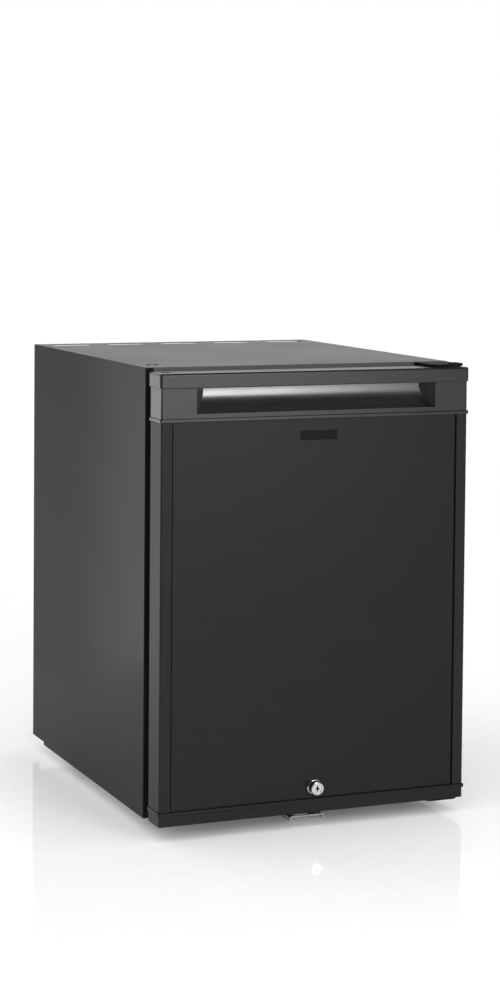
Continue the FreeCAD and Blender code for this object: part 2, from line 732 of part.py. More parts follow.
def insulation_foam():
    slab = block(both(f"{HALF} - skin"), (f"{LINER_FRONT} + liner_wall", f"{BAY_FRONT} - skin"),
                 (f"{BASE} + skin", f"{ROOF} - skin"))
    hollow = block(both(f"{INSIDE} + liner_wall"), (LINER_FRONT, f"{LINER_BACK} + liner_wall"),
                   (f"{FLOOR} - liner_wall", f"{CEILING} + liner_wall"))
    passage = wall_passage("block_fit", LINER_BACK, BAY_FRONT)
    bores = foot_bores("socket_length")
    keep(cut(slab, hollow, passage, *bores, *dot_pegs(), *screw_holes()), "insulation_foam")


def rib_top(index):
    return f"({FLOOR} + first_rib + rib_pitch * {index})"


def inner_liner():
    """The white moulded cavity with its rim and shelf ledges."""
    body = new_body()
    pad(body, "XZ", (LINER_FRONT, f"{LINER_BACK} + liner_wall"), rectangle(
        both(f"{INSIDE} + liner_wall"), (f"{FLOOR} - liner_wall", f"{CEILING} + liner_wall")))
    pad(body, "XZ", (LINER_FRONT, f"{LINER_FRONT} + liner_wall"), rectangle(
        both(f"{INSIDE} + liner_flange"), (f"{FLOOR} - liner_flange", f"{CEILING} + liner_flange")))
    pocket(body, "XZ", (LINER_FRONT, LINER_BACK), rectangle(both(INSIDE), (FLOOR, CEILING)))
    fillet(body, "liner_corner", "y", *cavity_corners())
    ledges = []
    for index in range(count("rib_count")):
        for side in (-1, 1):
            span = (f"{side} * ({INSIDE} - rib_reach)", f"{side} * {INSIDE}")
            ledges.append(rectangle(span, (f"{rib_top(index)} - rib_height", rib_top(index))))
    pad(body, "XZ", (f"{LINER_FRONT} + rib_start", LINER_BACK), *ledges)
    half = "block_half + block_fit"
    pocket(body, "XZ", (LINER_BACK, f"{LINER_BACK} + liner_wall"), rectangle(
        both(half), (f"{EVAP_MIDDLE} - ({half})", f"{EVAP_MIDDLE} + ({half})")))
    keep(body, "inner_liner")


# Shelves, evaporator and controls in the cavity

def wire_shelf(rib, label):
    front = f"{LINER_FRONT} + shelf_front"
    back = f"{LINER_BACK} - shelf_back"
    side = f"({INSIDE} - shelf_gap - rod_radius)"
    middle = f"({rib_top(rib)} + shelf_seat + rod_radius)"
    top = f"{middle} + rod_radius + wire_radius - wire_sink"
    wires = [rod("x", "rod_radius", f"-{side} - rod_radius", f"{side} + rod_radius", (depth, middle))
             for depth in (front, back)]
    wires += [rod("y", "rod_radius", front, back, (f"{sign} * {side}", middle)) for sign in (-1, 1)]
    for index in range(count("wire_count")):
        across = f"2 * {side} / (wire_count + 1) * ({index} - (wire_count - 1) / 2)"
        wires.append(rod("y", "wire_radius", f"{front} - rod_radius", f"{back} + rod_radius", (across, top)))
    keep(fuse(*wires), label)


def evaporator_fins():
    """The finned aluminium plate that cools the cavity."""
    body = new_body()
    tall = (f"{EVAP_TOP} - evap_height", EVAP_TOP)
    pad(body, "XZ", (f"{LINER_BACK} - evap_plate", LINER_BACK), rectangle(both("evap_width / 2"), tall))
    root = f"{LINER_BACK} - evap_plate"
    fin = pad(body, "XZ", (f"{root} - evap_fin_depth", root), rectangle(
        ("-evap_width / 2", "evap_fin - evap_width / 2"), tall))
    row = body.newObject("PartDesign::LinearPattern", "Fins")
    row.Originals = [fin]
    row.Direction = (origin_feature(body, "X_Axis"), [""])
    bind(row, "Length", "evap_width - evap_fin")
    bind(row, "Occurrences", "evap_fins")
    body.Tip = row
    keep(body, "evaporator_fins")


def evaporator_block():
    keep(wall_passage("0", LINER_BACK, f"{TUBE_Y} - tube_radius - tube_seat"), "evaporator_block")


def drip_tray():
    top = f"({EVAP_TOP} - evap_height - tray_gap)"
    front = f"{LINER_BACK} - tray_depth"
    bottom = f"{top} - tray_height"
    outer = block(both("tray_width / 2"), (front, LINER_BACK), (bottom, top))
    inner = block(both("tray_width / 2 - tray_wall"), (f"{front} + tray_wall", f"{LINER_BACK} - tray_wall"),
                  (f"{bottom} + tray_wall", top))
    keep(cut(outer, inner), "drip_tray")


BOX_RIGHT = f"({INSIDE} - box_side)"
BOX_LEFT = f"({BOX_RIGHT} - box_width)"
BOX_FRONT = f"({LINER_FRONT} + box_setback)"
BOX_BOTTOM = f"({CEILING} - box_height)"
KNOB_X = f"({BOX_RIGHT} - knob_offset)"
KNOB_Z = f"({CEILING} - box_height / 2)"
LENS_LEFT = f"({BOX_LEFT} + lens_margin)"
LENS_FRONT = f"({BOX_FRONT} + (box_depth - lens_depth) / 2)"
LENS_X = (LENS_LEFT, f"{LENS_LEFT} + lens_width")
LENS_Y = (LENS_FRONT, f"{LENS_FRONT} + lens_depth")


def shaft_hole():
    end = f"{BOX_FRONT} + shaft_length + knob_gap"
    return rod("y", "shaft_radius + run_clear", BOX_FRONT, end, (KNOB_X, KNOB_Z))


def control_box():
    box = block((BOX_LEFT, BOX_RIGHT), (BOX_FRONT, f"{BOX_FRONT} + box_depth"),
                (BOX_BOTTOM, CEILING))
    hollow = block((f"{BOX_LEFT} + box_wall", f"{BOX_RIGHT} - box_wall"),
                   (f"{BOX_FRONT} + box_wall", f"{BOX_FRONT} + box_depth - box_wall"),
                   (f"{BOX_BOTTOM} + box_wall", CEILING))
    window = block(LENS_X, LENS_Y, (BOX_BOTTOM, f"{BOX_BOTTOM} + box_wall"))
    keep(cut(box, hollow, window, shaft_hole()), "control_box")


def thermostat_switch():
    body = block((f"{KNOB_X} - switch_half", f"{KNOB_X} + switch_half"),
                 (f"{BOX_FRONT} + box_wall", f"{BOX_FRONT} + box_wall + switch_depth"),
                 (f"{KNOB_Z} - switch_half", f"{KNOB_Z} + switch_half"))
    keep(cut(body, shaft_hole()), "thermostat_switch")


def lamp():
    top = f"{BOX_BOTTOM} + box_wall"
    keep(block(LENS_X, LENS_Y, (f"{BOX_BOTTOM} - lens_proud", top)), "lamp_lens")
    keep(block(LENS_X, LENS_Y, (top, f"{top} + board_thick")), "lamp_board")


def thermostat_knob():
    """A round knob with a finger grip across it, on its shaft."""
    back = f"{BOX_FRONT} - knob_gap"
    face = f"{back} - knob_depth"
    root = f"{back} - dial_depth"
    dial = rod("y", "knob_radius", root, back, (KNOB_X, KNOB_Z))
    shape = rod("y", "grip_radius", face, root, (KNOB_X, KNOB_Z))
    grip = block((f"{KNOB_X} - grip_half", f"{KNOB_X} + grip_half"), (face, root),
                 (f"{KNOB_Z} - knob_radius", f"{KNOB_Z} + knob_radius"))
    bar = doc.addObject("Part::Common", "Grip")
    bar.Base = shape
    bar.Tool = grip
    shaft = rod("y", "shaft_radius", back, f"{BOX_FRONT} + shaft_length", (KNOB_X, KNOB_Z))
    keep(fuse(dial, bar, shaft), "thermostat_knob")


# Cooling unit in the open bay behind the cabinet

TERMINAL_X = (f"(terminal_side - {HALF})", f"(terminal_side + terminal_width - {HALF})")
BOILER_X = f"({TERMINAL_X[1]} + boiler_gap + jacket_radius)"
BOILER_AT = (BOILER_X, TUBE_Y)
VESSEL_LEFT = f"({BOILER_X} + vessel_left)"
VESSEL_RIGHT = f"({HALF} - vessel_right)"
COIL_LEFT = f"({BOILER_X} + coil_left)"
COIL_RIGHT = f"({HALF} - coil_right)"
CONDENSER_RIGHT = f"({HALF} - condenser_right)"
VESSEL_Z = "(foot_height + vessel_height)"
HEATER_AT = (f"{BOILER_X} - boiler_radius - heater_radius - heater_gap", TUBE_Y)


def boiler():
    tall = (f"{BASE} + boiler_bottom", f"{BASE} + boiler_top")
    keep(rod("z", "boiler_radius", *tall, BOILER_AT), "boiler_tube")
    span = (f"{BASE} + jacket_bottom", f"{BASE} + jacket_bottom + jacket_height")
    wool = rod("z", "jacket_radius", *span, BOILER_AT)
    bore = rod("z", "boiler_radius + jacket_fit", *span, BOILER_AT)
    pocket_bore = rod("z", "heater_radius + jacket_fit", *span, HEATER_AT)
    keep(cut(wool, bore, pocket_bore), "boiler_jacket")
    tail = f"{BASE} + jacket_bottom - heater_tail"
    keep(rod("z", "heater_radius", tail, f"{tail} + heater_length", HEATER_AT), "heater_cartridge")


def liquid_pipe():
    """From the vessel's left end to the foot of the boiler."""
    keep(tube((
        (VESSEL_LEFT, TUBE_Y, VESSEL_Z),
        (BOILER_X, TUBE_Y, VESSEL_Z),
        (BOILER_X, TUBE_Y, f"{BASE} + boiler_bottom"),
    ), "pipe_radius", "tube_bend"), "liquid_pipe")


def absorber_vessel():
    length = f"({VESSEL_RIGHT} - {VESSEL_LEFT})"
    keep(turned((
        ("0", "0"),
        ("vessel_radius - vessel_round", "0"),
        ("vessel_radius", "vessel_round"),
        ("vessel_radius", f"{length} - vessel_round"),
        ("vessel_radius - vessel_round", length),
        ("0", length),
    ), (VESSEL_LEFT, TUBE_Y, VESSEL_Z), "right"), "absorber_vessel")


def absorber_coil():
    """Runs up and to and fro from the vessel's right end to the evaporator."""
    sides = (COIL_RIGHT, COIL_LEFT)
    points = [(VESSEL_RIGHT, TUBE_Y, VESSEL_Z), (COIL_RIGHT, TUBE_Y, VESSEL_Z)]
    for run in range(2 * count("coil_turns") + 1):
        height = f"{BASE} + coil_first + coil_pitch * {run}"
        points.append((sides[run % 2], TUBE_Y, height))
        points.append((sides[(run + 1) % 2], TUBE_Y, height))
    points.append((COIL_LEFT, TUBE_Y, f"{EVAP_MIDDLE} - weld_drop"))
    keep(tube(points, "tube_radius", "tube_bend"), "absorber_coil")


def condenser_tube():
    """From the boiler's top through the condenser and past the evaporator block to the coil."""
    height = f"{EVAP_MIDDLE} + condenser_rise"
    keep(tube((
        (BOILER_X, TUBE_Y, f"{BASE} + boiler_top"),
        (BOILER_X, TUBE_Y, height),
        (CONDENSER_RIGHT, TUBE_Y, height),
        (CONDENSER_RIGHT, TUBE_Y, EVAP_MIDDLE),
        (COIL_LEFT, TUBE_Y, EVAP_MIDDLE),
        (COIL_LEFT, TUBE_Y, f"{EVAP_MIDDLE} - weld_drop"),
    ), "tube_radius", "tube_bend"), "condenser_tube")


def condenser_fins():
    height = f"{EVAP_MIDDLE} + condenser_rise"
    first = f"({BOILER_X} + fin_margin)"
    pitch = f"({CONDENSER_RIGHT} - fin_margin - {first}) / (fin_count - 1)"
    fins = []
    for index in range(count("fin_count")):
        start = f"{first} + {pitch} * {index}"
        sheet_metal = block((start, f"{start} + fin_thick"), (f"{TUBE_Y} - fin_half", f"{TUBE_Y} + fin_half"),
                            (f"{height} - fin_half", f"{height} + fin_half"))
        bore = rod("x", "tube_radius + fin_fit", start, f"{start} + fin_thick", (TUBE_Y, height))
        fins.append(cut(sheet_metal, bore))
    keep(group(*fins), "condenser_fins")


def coil_bracket():
    """A channel under the coil with two screwed feet along it."""
    def across(offset):
        return f"channel_across + {offset}"

    crown = f"{TUBE_Y} - tube_radius - tube_seat"
    body = new_body()
    pad(body, "XY", (f"{BASE} + coil_first - channel_margin", f"{COIL_TOP} + channel_margin"), (
        (across("-channel_half - channel_foot"), BAY_FRONT),
        (across("-channel_half + channel_wall"), BAY_FRONT),
        (across("-channel_half + channel_wall"), f"{crown} - channel_wall"),
        (across("channel_half - channel_wall"), f"{crown} - channel_wall"),
        (across("channel_half - channel_wall"), BAY_FRONT),
        (across("channel_half + channel_foot"), BAY_FRONT),
        (across("channel_half + channel_foot"), f"{BAY_FRONT} + channel_wall"),
        (across("channel_half"), f"{BAY_FRONT} + channel_wall"),
        (across("channel_half"), crown),
        (across("-channel_half"), crown),
        (across("-channel_half"), f"{BAY_FRONT} + channel_wall"),
        (across("-channel_half - channel_foot"), f"{BAY_FRONT} + channel_wall"),
    ))
    return cut(body, *screw_holes())


def saddle(middle, height, radius):
    """A pad between the rear panel and a round vessel."""
    return block((f"{middle} - saddle_half", f"{middle} + saddle_half"),
                 (BAY_FRONT, f"{TUBE_Y} - {radius} - tube_seat"),
                 (f"{height} - saddle_height / 2", f"{height} + saddle_height / 2"))


def unit_brackets():
    jacket_middle = f"{BASE} + jacket_bottom + jacket_height / 2"
    vessel_middle = f"({VESSEL_LEFT} + {VESSEL_RIGHT}) / 2"
    keep(group(
        coil_bracket(),
        saddle(BOILER_X, jacket_middle, "jacket_radius"),
        saddle(vessel_middle, VESSEL_Z, "vessel_radius"),
    ), "unit_brackets")


TERMINAL_BACK = f"({BAY_FRONT} + terminal_depth)"
GLAND_AT = (f"{TERMINAL_X[0]} + terminal_width / 2", f"{BASE} + terminal_bottom + gland_height")


def terminal_box():
    bottom = f"({BASE} + terminal_bottom)"
    case = block(TERMINAL_X, (BAY_FRONT, TERMINAL_BACK), (bottom, f"{bottom} + terminal_height"))
    hollow = block((f"{TERMINAL_X[0]} + terminal_wall", f"{TERMINAL_X[1]} - terminal_wall"),
                   (BAY_FRONT, f"{TERMINAL_BACK} - terminal_wall"),
                   (f"{bottom} + terminal_wall", f"{bottom} + terminal_height - terminal_wall"))
    wall = (f"{TERMINAL_BACK} - terminal_wall", TERMINAL_BACK)
    keep(cut(case, hollow, rod("y", "gland_spigot", *wall, GLAND_AT)), "terminal_box")
    end = f"{TERMINAL_BACK} + gland_length"
    nut = rod("y", "gland_radius", TERMINAL_BACK, end, GLAND_AT)
    spigot = rod("y", "gland_spigot", *wall, GLAND_AT)
    keep(cut(fuse(nut, spigot), rod("y", "gland_bore", wall[0], end, GLAND_AT)), "cable_gland")


# Feet, strike and hinges

def levelling_foot(place, label):
    top = f"{BASE} + stem_reach"
    keep(turned((
        ("0", "0"),
        ("foot_radius", "0"),
        ("foot_radius", "pad_rim"),
        ("pad_crown", "pad_height"),
        ("stem_radius", "pad_height"),
        ("stem_radius", top),
        ("0", top),
    ), (*place, "0")), label)


def feet():
    left, right = foot_places()["front"]
    levelling_foot(left, "front_left_foot")
    levelling_foot(right, "front_right_foot")
    sockets = []
    for place in (left, right):
        barrel = rod("z", "socket_radius", BASE, f"{BASE} + socket_length", place)
        flange = rod("z", "socket_flange", f"{BASE} - flange_thick", BASE, place)
        bore = rod("z", "stem_radius + run_clear", f"{BASE} - flange_thick", f"{BASE} + socket_length", place)
        sockets.append(cut(fuse(barrel, flange), bore))
    keep(group(*sockets), "foot_sockets")
    rear = [turned((
        ("0", "0"),
        ("rear_foot_toe", "0"),
        ("foot_radius", BASE),
        ("peg_radius", BASE),
        ("peg_radius", f"{BASE} + peg_reach"),
        ("0", f"{BASE} + peg_reach"),
    ), (*place, "0")) for place in foot_places()["rear"]]
    keep(group(*rear), "rear_feet")


CAM_Y = (LOCK_REAR, f"{LOCK_REAR} + cam_thick")


def cam_sweep(depth):
    """How far left of the lock axis the cam reaches this far below it."""
    return f"sqrt(cam_length * cam_length - ({depth}) * ({depth})) + cam_half"


def strike_bracket():
    """The folded plate under the door that the lock's cam goes down into."""
    top = f"({BASE} - strike_drop)"
    bottom = f"({top} - strike_thick)"
    front = f"({DOOR_FRONT} + strike_front)"
    riser = f"({CAB_FRONT} + strike_riser)"
    rear = f"{riser} + strike_leaf"
    ends = ("strike_shift - strike_width / 2", "strike_shift + strike_width / 2")
    body = new_body()
    pad(body, "YZ", ends, (
        (front, bottom),
        (f"{riser} + strike_thick", bottom),
        (f"{riser} + strike_thick", f"{BASE} - strike_thick"),
        (rear, f"{BASE} - strike_thick"),
        (rear, BASE),
        (riser, BASE),
        (riser, top),
        (front, top),
    ))
    pad(body, "XZ", (front, riser),
        rectangle((ends[0], f"{ends[0]} + strike_thick"), (f"{bottom} - strike_lip", bottom)),
        rectangle((f"{ends[1]} - strike_thick", ends[1]), (f"{bottom} - strike_lip", bottom)))
    pocket(body, "XY", (bottom, top), rectangle(
        (f"-({cam_sweep('lock_height + strike_drop')} + cam_room / 2)", "cam_half + cam_room"),
        (f"{CAM_Y[0]} - cam_room / 2", f"{CAM_Y[1]} + cam_room / 2")))
    keep(cut(body, *screw_holes()), "strike_bracket")


HINGE_SPAN = (f"{DOOR_FRONT} + hinge_front", CAB_FRONT)


def hinge_plate_body(plate, leaf):
    """A leaf on the cabinet front and a plate that reaches over or under the door."""
    body = new_body()
    pad(body, "XY", plate, rectangle((HINGE_LEFT, HINGE_RIGHT), HINGE_SPAN))
    fillet(body, "hinge_corner", "z", (HINGE_LEFT, HINGE_SPAN[0], None), (HINGE_RIGHT, HINGE_SPAN[0], None))
    pad(body, "XZ", (f"{CAB_FRONT} - hinge_plate", CAB_FRONT), rectangle((HINGE_LEFT, HINGE_RIGHT), leaf))
    pocket(body, "XY", plate, holes=[(HINGE_X, HINGE_Y, "pin_radius")])
    return body


def hinges():
    roll = rod("y", "roll_radius", f"{HINGE_Y} - roll_length / 2", f"{HINGE_Y} + roll_length / 2",
               (HINGE_RIGHT, f"{TOP_PLATE[1]} - roll_radius / 2"))
    top = hinge_plate_body(TOP_PLATE, (f"{ROOF} - {LEAF_HEIGHT}", ROOF))
    keep(cut(fuse(top, roll), *screw_holes()), "top_hinge_plate")
    bottom = hinge_plate_body(BOTTOM_PLATE, (BASE, f"{BASE} + {LEAF_HEIGHT}"))
    keep(cut(bottom, *screw_holes()), "bottom_hinge_plate")
    at = (HINGE_X, HINGE_Y)
    top_pin = fuse(rod("z", "pin_radius", f"{TOP_PLATE[0]} - pin_reach", TOP_PLATE[1], at),
                   rod("z", "rivet_radius", TOP_PLATE[1], f"{TOP_PLATE[1]} + rivet_height", at))
    bottom_pin = fuse(rod("z", "pin_radius", BOTTOM_PLATE[0], f"{BOTTOM_PLATE[1]} + pin_reach", at),
                      rod("z", "rivet_radius", f"{BOTTOM_PLATE[0]} - rivet_height", BOTTOM_PLATE[0], at))
    keep(group(top_pin, bottom_pin), "hinge_pins")


def hinge_bushes():
    at = (HINGE_X, HINGE_Y)
    inner = "pin_radius + run_clear"
    upper = fuse(rod("z", "bush_radius", f"{DOOR_TOP} - bush_length", DOOR_TOP, at),
                 rod("z", "flange_radius", DOOR_TOP, f"{DOOR_TOP} + bush_flange", at))
    lower = fuse(rod("z", "bush_radius", DOOR_BOTTOM, f"{DOOR_BOTTOM} + bush_length", at),
                 rod("z", "flange_radius", f"{DOOR_BOTTOM} - bush_flange", DOOR_BOTTOM, at))
    upper_bore = rod("z", inner, f"{DOOR_TOP} - bush_length", f"{DOOR_TOP} + bush_flange", at)
    lower_bore = rod("z", inner, f"{DOOR_BOTTOM} - bush_flange", f"{DOOR_BOTTOM} + bush_length", at)
    keep(group(cut(upper, upper_bore), cut(lower, lower_bore)), "hinge_bushes")


def door_plugs():
    """Plugs in the bores for a door hung on the other side."""
    at = (f"-{HINGE_X}", HINGE_Y)
    keep(group(
        rod("z", "bush_radius", f"{DOOR_TOP} - bush_length", f"{DOOR_TOP} - plug_sink", at),
        rod("z", "bush_radius", f"{DOOR_BOTTOM} + plug_sink", f"{DOOR_BOTTOM} + bush_length", at),
    ), "door_plugs")


# Door

def bush_bores():
    return [(f"{side} * {HINGE_X}", HINGE_Y, "bush_radius") for side in (-1, 1)]


def proud_band(body, span, corner="edge_round", top_edge="bead_round"):
    """A band that stands proud of a trim's front and sides, with rounded edges."""
    sides = both(f"{HALF} + lip_proud")
    front = f"{DOOR_FRONT} - lip_proud"
    pad(body, "XY", span, rectangle(sides, (front, DOOR_REAR)))
    fillet(body, corner, "z", *((side, front, f"({span[0]} + {span[1]}) / 2") for side in sides))
    for height, radius in zip(span, ("bead_round", top_edge)):
        fillet(body, radius, "x", (None, front, height))


def trim_hollow():
    return rectangle(both(f"{HALF} - end_block"), (TRIM_BACK, f"{DOOR_REAR} - trim_wall"))


def trim_block(span):
    body = new_body()
    pad(body, "XY", span, rectangle(both(HALF), (DOOR_FRONT, DOOR_REAR)))
    fillet(body, "edge_round", "z", *((side, DOOR_FRONT, None) for side in both(HALF)))
    return body


RECESS_HALF = f"({HALF} - recess_side)"


def door_top_trim():
    """The moulded head of the door: lip, handle opening and bead."""
    body = trim_block((TRIM_BOTTOM, DOOR_TOP))
    proud_band(body, (LIP_BOTTOM, DOOR_TOP), "lip_corner", "lip_round")
    proud_band(body, (TRIM_BOTTOM, f"{TRIM_BOTTOM} + bead_height"))
    pocket(body, "XY", (TRIM_BOTTOM, f"{DOOR_TOP} - trim_wall"), trim_hollow())
    pocket(body, "XZ", (DOOR_FRONT, TRIM_BACK), rectangle(both(RECESS_HALF), (SILL, LIP_BOTTOM)))
    pocket(body, "XY", (f"{DOOR_TOP} - bush_length", DOOR_TOP), holes=bush_bores())
    keep(body, "door_top_trim")


def handle_cup():
    """The glossy scoop behind the opening: a round floor that rises to the back, with leaning ends."""
    rise = f"({LIP_BOTTOM} - {SILL})"
    radius = f"((cup_depth * cup_depth + {rise} * {rise}) / (2 * cup_depth))"
    back = f"({TRIM_BACK} + cup_depth)"
    half = RECESS_HALF
    case = block(both(f"{half} + cup_wall"), (TRIM_BACK, f"{back} + cup_wall"),
                 (f"{SILL} - cup_wall", f"{LIP_BOTTOM} + cup_wall"))
    scoop = doc.addObject("Part::Common", "Scoop")
    scoop.Base = block(both(half), (TRIM_BACK, back), (SILL, LIP_BOTTOM))
    scoop.Tool = rod("x", radius, f"-{half}", half, (f"{back} - {radius}", LIP_BOTTOM))
    ends = []
    for side in (-1, 1):
        end = new_body()
        pad(end, "XY", (SILL, LIP_BOTTOM), (
            (f"{side} * {half}", TRIM_BACK),
            (f"{side} * {half}", back),
            (f"{side} * ({half} - cup_taper)", back),
        ))
        ends.append(end)
    keep(cut(case, cut(scoop, *ends)), "handle_cup")


def door_bottom_trim():
    body = trim_block((DOOR_BOTTOM, LOWER_TRIM_TOP))
    proud_band(body, (f"{LOWER_TRIM_TOP} - bead_height", LOWER_TRIM_TOP))
    pocket(body, "XY", (f"{DOOR_BOTTOM} + trim_wall", LOWER_TRIM_TOP), trim_hollow())
    reach = cam_sweep("lock_height - door_lift - trim_wall")
    pocket(body, "XY", (DOOR_BOTTOM, f"{DOOR_BOTTOM} + trim_wall"), rectangle(
        (f"-({reach} + cam_room)", "cam_half + cam_room"),
        (f"{CAM_Y[0]} - cam_room / 2", f"{CAM_Y[1]} + cam_room / 2")))
    pocket(body, "XY", (DOOR_BOTTOM, f"{DOOR_BOTTOM} + bush_length"), holes=bush_bores())
    keep(body, "door_bottom_trim")


def door_profile(side, label):
    """A vertical edge profile: front face, side web and rear face."""
    def across(inward):
        return f"{side} * ({HALF} - {inward})"

    body = new_body()
    pad(body, "XY", (LOWER_TRIM_TOP, TRIM_BOTTOM), (
        (across("0"), DOOR_FRONT),
        (across("profile_face"), DOOR_FRONT),
        (across("profile_face"), TRIM_BACK),
        (across("trim_wall"), TRIM_BACK),
        (across("trim_wall"), f"{DOOR_REAR} - trim_wall"),
        (across("profile_face"), f"{DOOR_REAR} - trim_wall"),
        (across("profile_face"), DOOR_REAR),
        (across("0"), DOOR_REAR),
    ))
    fillet(body, "edge_round", "z", (across("0"), DOOR_FRONT, None))
    keep(body, label)


PANEL_Z = (f"({LOWER_TRIM_TOP} - panel_tuck)", f"({TRIM_BOTTOM} + panel_tuck)")


def door_panel():
    half = f"({HALF} - trim_wall - panel_gap)"
    plate = block(both(half), (TRIM_BACK, PANEL_BACK), (LOWER_TRIM_TOP, TRIM_BOTTOM))
    inner = f"({HALF} - end_block - panel_gap)"
    tongue = block(both(inner), (TRIM_BACK, PANEL_BACK), PANEL_Z)
    hole = rod("y", "barrel_radius + screw_fit", TRIM_BACK, PANEL_BACK, ("0", LOCK_Z))
    keep(cut(fuse(plate, tongue), hole), "door_panel")


def badge_plate():
    top = f"({TRIM_BOTTOM} - badge_drop)"
    body = new_body()
    sides = ("badge_shift - badge_width / 2", "badge_shift + badge_width / 2")
    pad(body, "XZ", (f"{TRIM_BACK} - badge_thick", TRIM_BACK),
        rectangle(sides, (f"{top} - badge_height", top)))
    fillet(body, "badge_thick", "y", *((side, None, height) for side in sides
                                       for height in (top, f"{top} - badge_height")))
    keep(body, "badge_plate")


DIKE_HALF = f"({INSIDE} - dike_side)"
BIN_HALF = f"({DIKE_HALF} - bin_side)"
DIKE_Z = (f"({FLOOR} + dike_inset)", f"({CEILING} - dike_inset)")
DIKE_REAR = f"({CAB_FRONT} + dike_reach)"
DIKE_FILL = f"({DIKE_REAR} - liner_wall)"


def door_liner():
    """The white back of the door with its raised middle."""
    body = new_body()
    edge = "door_liner_inset"
    pad(body, "XZ", (DOOR_REAR, f"{DOOR_REAR} + liner_wall"), rectangle(
        both(f"{HALF} - {edge}"), (f"{DOOR_BOTTOM} + {edge}", f"{DOOR_TOP} - {edge}")))
    pad(body, "XZ", (f"{DOOR_REAR} + liner_wall", DIKE_REAR), rectangle(both(DIKE_HALF), DIKE_Z))
    fillet(body, "bin_corner", "y", *((side, f"({DOOR_REAR} + liner_wall + {DIKE_REAR}) / 2", height)
                                      for side in both(DIKE_HALF) for height in DIKE_Z))
    wall = "(2 * liner_wall)"
    pocket(body, "XZ", (DOOR_REAR, DIKE_FILL), rectangle(
        both(f"{DIKE_HALF} - {wall}"), (f"{DIKE_Z[0]} + {wall}", f"{DIKE_Z[1]} - {wall}")))
    keep(body, "door_liner")


def door_foam():
    """Fills the door, round the lock and the sweep of its cam."""
    wall = "(2 * liner_wall)"
    slab = block(both(f"{HALF} - profile_face"), (PANEL_BACK, DOOR_REAR), (LOWER_TRIM_TOP, TRIM_BOTTOM))
    fill = block(both(f"{DIKE_HALF} - {wall}"), (DOOR_REAR, DIKE_FILL),
                 (f"{DIKE_Z[0]} + {wall}", f"{DIKE_Z[1]} - {wall}"))
    barrel = rod("y", "nut_radius + cam_room", PANEL_BACK, DOOR_REAR, ("0", LOCK_Z))
    sweep = block(("-cam_length - cam_room", "cam_length / 2"), (f"{CAM_Y[0]} - cam_room", DOOR_REAR),
                  (LOWER_TRIM_TOP, f"{LOCK_Z} + nut_radius + cam_room"))
    keep(cut(fuse(slab, fill), barrel, sweep), "door_foam")


SEAL_FOOT = f"({DOOR_REAR} + liner_wall)"
SEAL_NECK = f"({SEAL_FOOT} + gasket_base)"
SEAL_BULB = f"({SEAL_NECK} + gasket_neck)"
SEAL_FACE = f"({CAB_FRONT} - gasket_clear)"
MAGNET_Y = (f"({SEAL_FACE} - magnet_skin - magnet_thick)", f"({SEAL_FACE} - magnet_skin)")


def seal_frame(inset):
    """A rectangle this far inside the cabinet's outline."""
    return rectangle(both(f"{HALF} - ({inset})"), (f"{BASE} + {inset}", f"{ROOF} - ({inset})"))


def seal_band(body, span, width):
    middle = "gasket_inset + gasket_width / 2"
    pad(body, "XZ", span, seal_frame(f"{middle} - {width} / 2"), seal_frame(f"{middle} + {width} / 2"))


def door_gasket():
    """A bellows seal with a bulb that holds the magnet strips."""
    body = new_body()
    seal_band(body, (SEAL_FOOT, SEAL_NECK), "gasket_width")
    seal_band(body, (SEAL_NECK, SEAL_BULB), "neck_width")
    seal_band(body, (SEAL_BULB, SEAL_FACE), "gasket_width")
    keep(cut(body, *magnet_strips()), "door_gasket")


def magnet_strips():
    inner = "(gasket_inset + gasket_width / 2 - magnet_width / 2)"
    outer = "(gasket_inset + gasket_width / 2 + magnet_width / 2)"
    end = f"({outer} + magnet_end)"
    strips = [block(both(f"{HALF} - {end}"), MAGNET_Y, span) for span in (
        (f"{BASE} + {inner}", f"{BASE} + {outer}"), (f"{ROOF} - {outer}", f"{ROOF} - {inner}"))]
    for side in (-1, 1):
        near = f"{side} * ({HALF} - {outer})"
        far = f"{side} * ({HALF} - {inner})"
        span = (near, far) if side > 0 else (far, near)
        strips.append(block(span, MAGNET_Y, (f"{BASE} + {end}", f"{ROOF} - {end}")))
    return strips


def door_bin(lift, height, label):
    bottom = f"({FLOOR} + {lift})"
    top = f"({bottom} + {height})"
    back = f"({CAB_FRONT} + bin_reach)"
    body = new_body()
    pad(body, "XY", (bottom, top), rectangle(both(BIN_HALF), (DIKE_REAR, back)))
    pocket(body, "XY", (f"{bottom} + bin_wall", top), rectangle(
        both(f"{BIN_HALF} - bin_wall"), (f"{DIKE_REAR} + bin_wall", f"{back} - bin_wall")))
    fillet(body, "bin_corner - bin_wall", "z", *((side, f"{back} - bin_wall", None)
                                                 for side in both(f"{BIN_HALF} - bin_wall")))
    fillet(body, "bin_corner", "z", *((side, back, None) for side in both(BIN_HALF)))
    keep(body, label)


# Lock

LOCK_AT = ("0", DOOR_FRONT, LOCK_Z)
PLUG_FACE = "(lock_reach - plug_recess)"


def lock_housing():
    """Flanged head on the panel, and a barrel through the door; heights count towards the front."""
    keep(turned((
        ("plug_radius + run_clear", "-lock_depth"),
        ("barrel_radius", "-lock_depth"),
        ("barrel_radius", "-trim_wall"),
        ("bezel_radius", "-trim_wall"),
        ("bezel_radius", "bezel_flange - trim_wall - bezel_slope"),
        ("bezel_radius - bezel_slope", "bezel_flange - trim_wall"),
        ("neck_radius", "bezel_flange - trim_wall"),
        ("neck_radius", "lock_reach - bezel_round"),
        ("neck_radius - bezel_break", "lock_reach - bezel_break"),
        ("neck_radius - bezel_round", "lock_reach"),
        ("plug_radius + run_clear", "lock_reach"),
    ), LOCK_AT, "front"), "lock_housing")


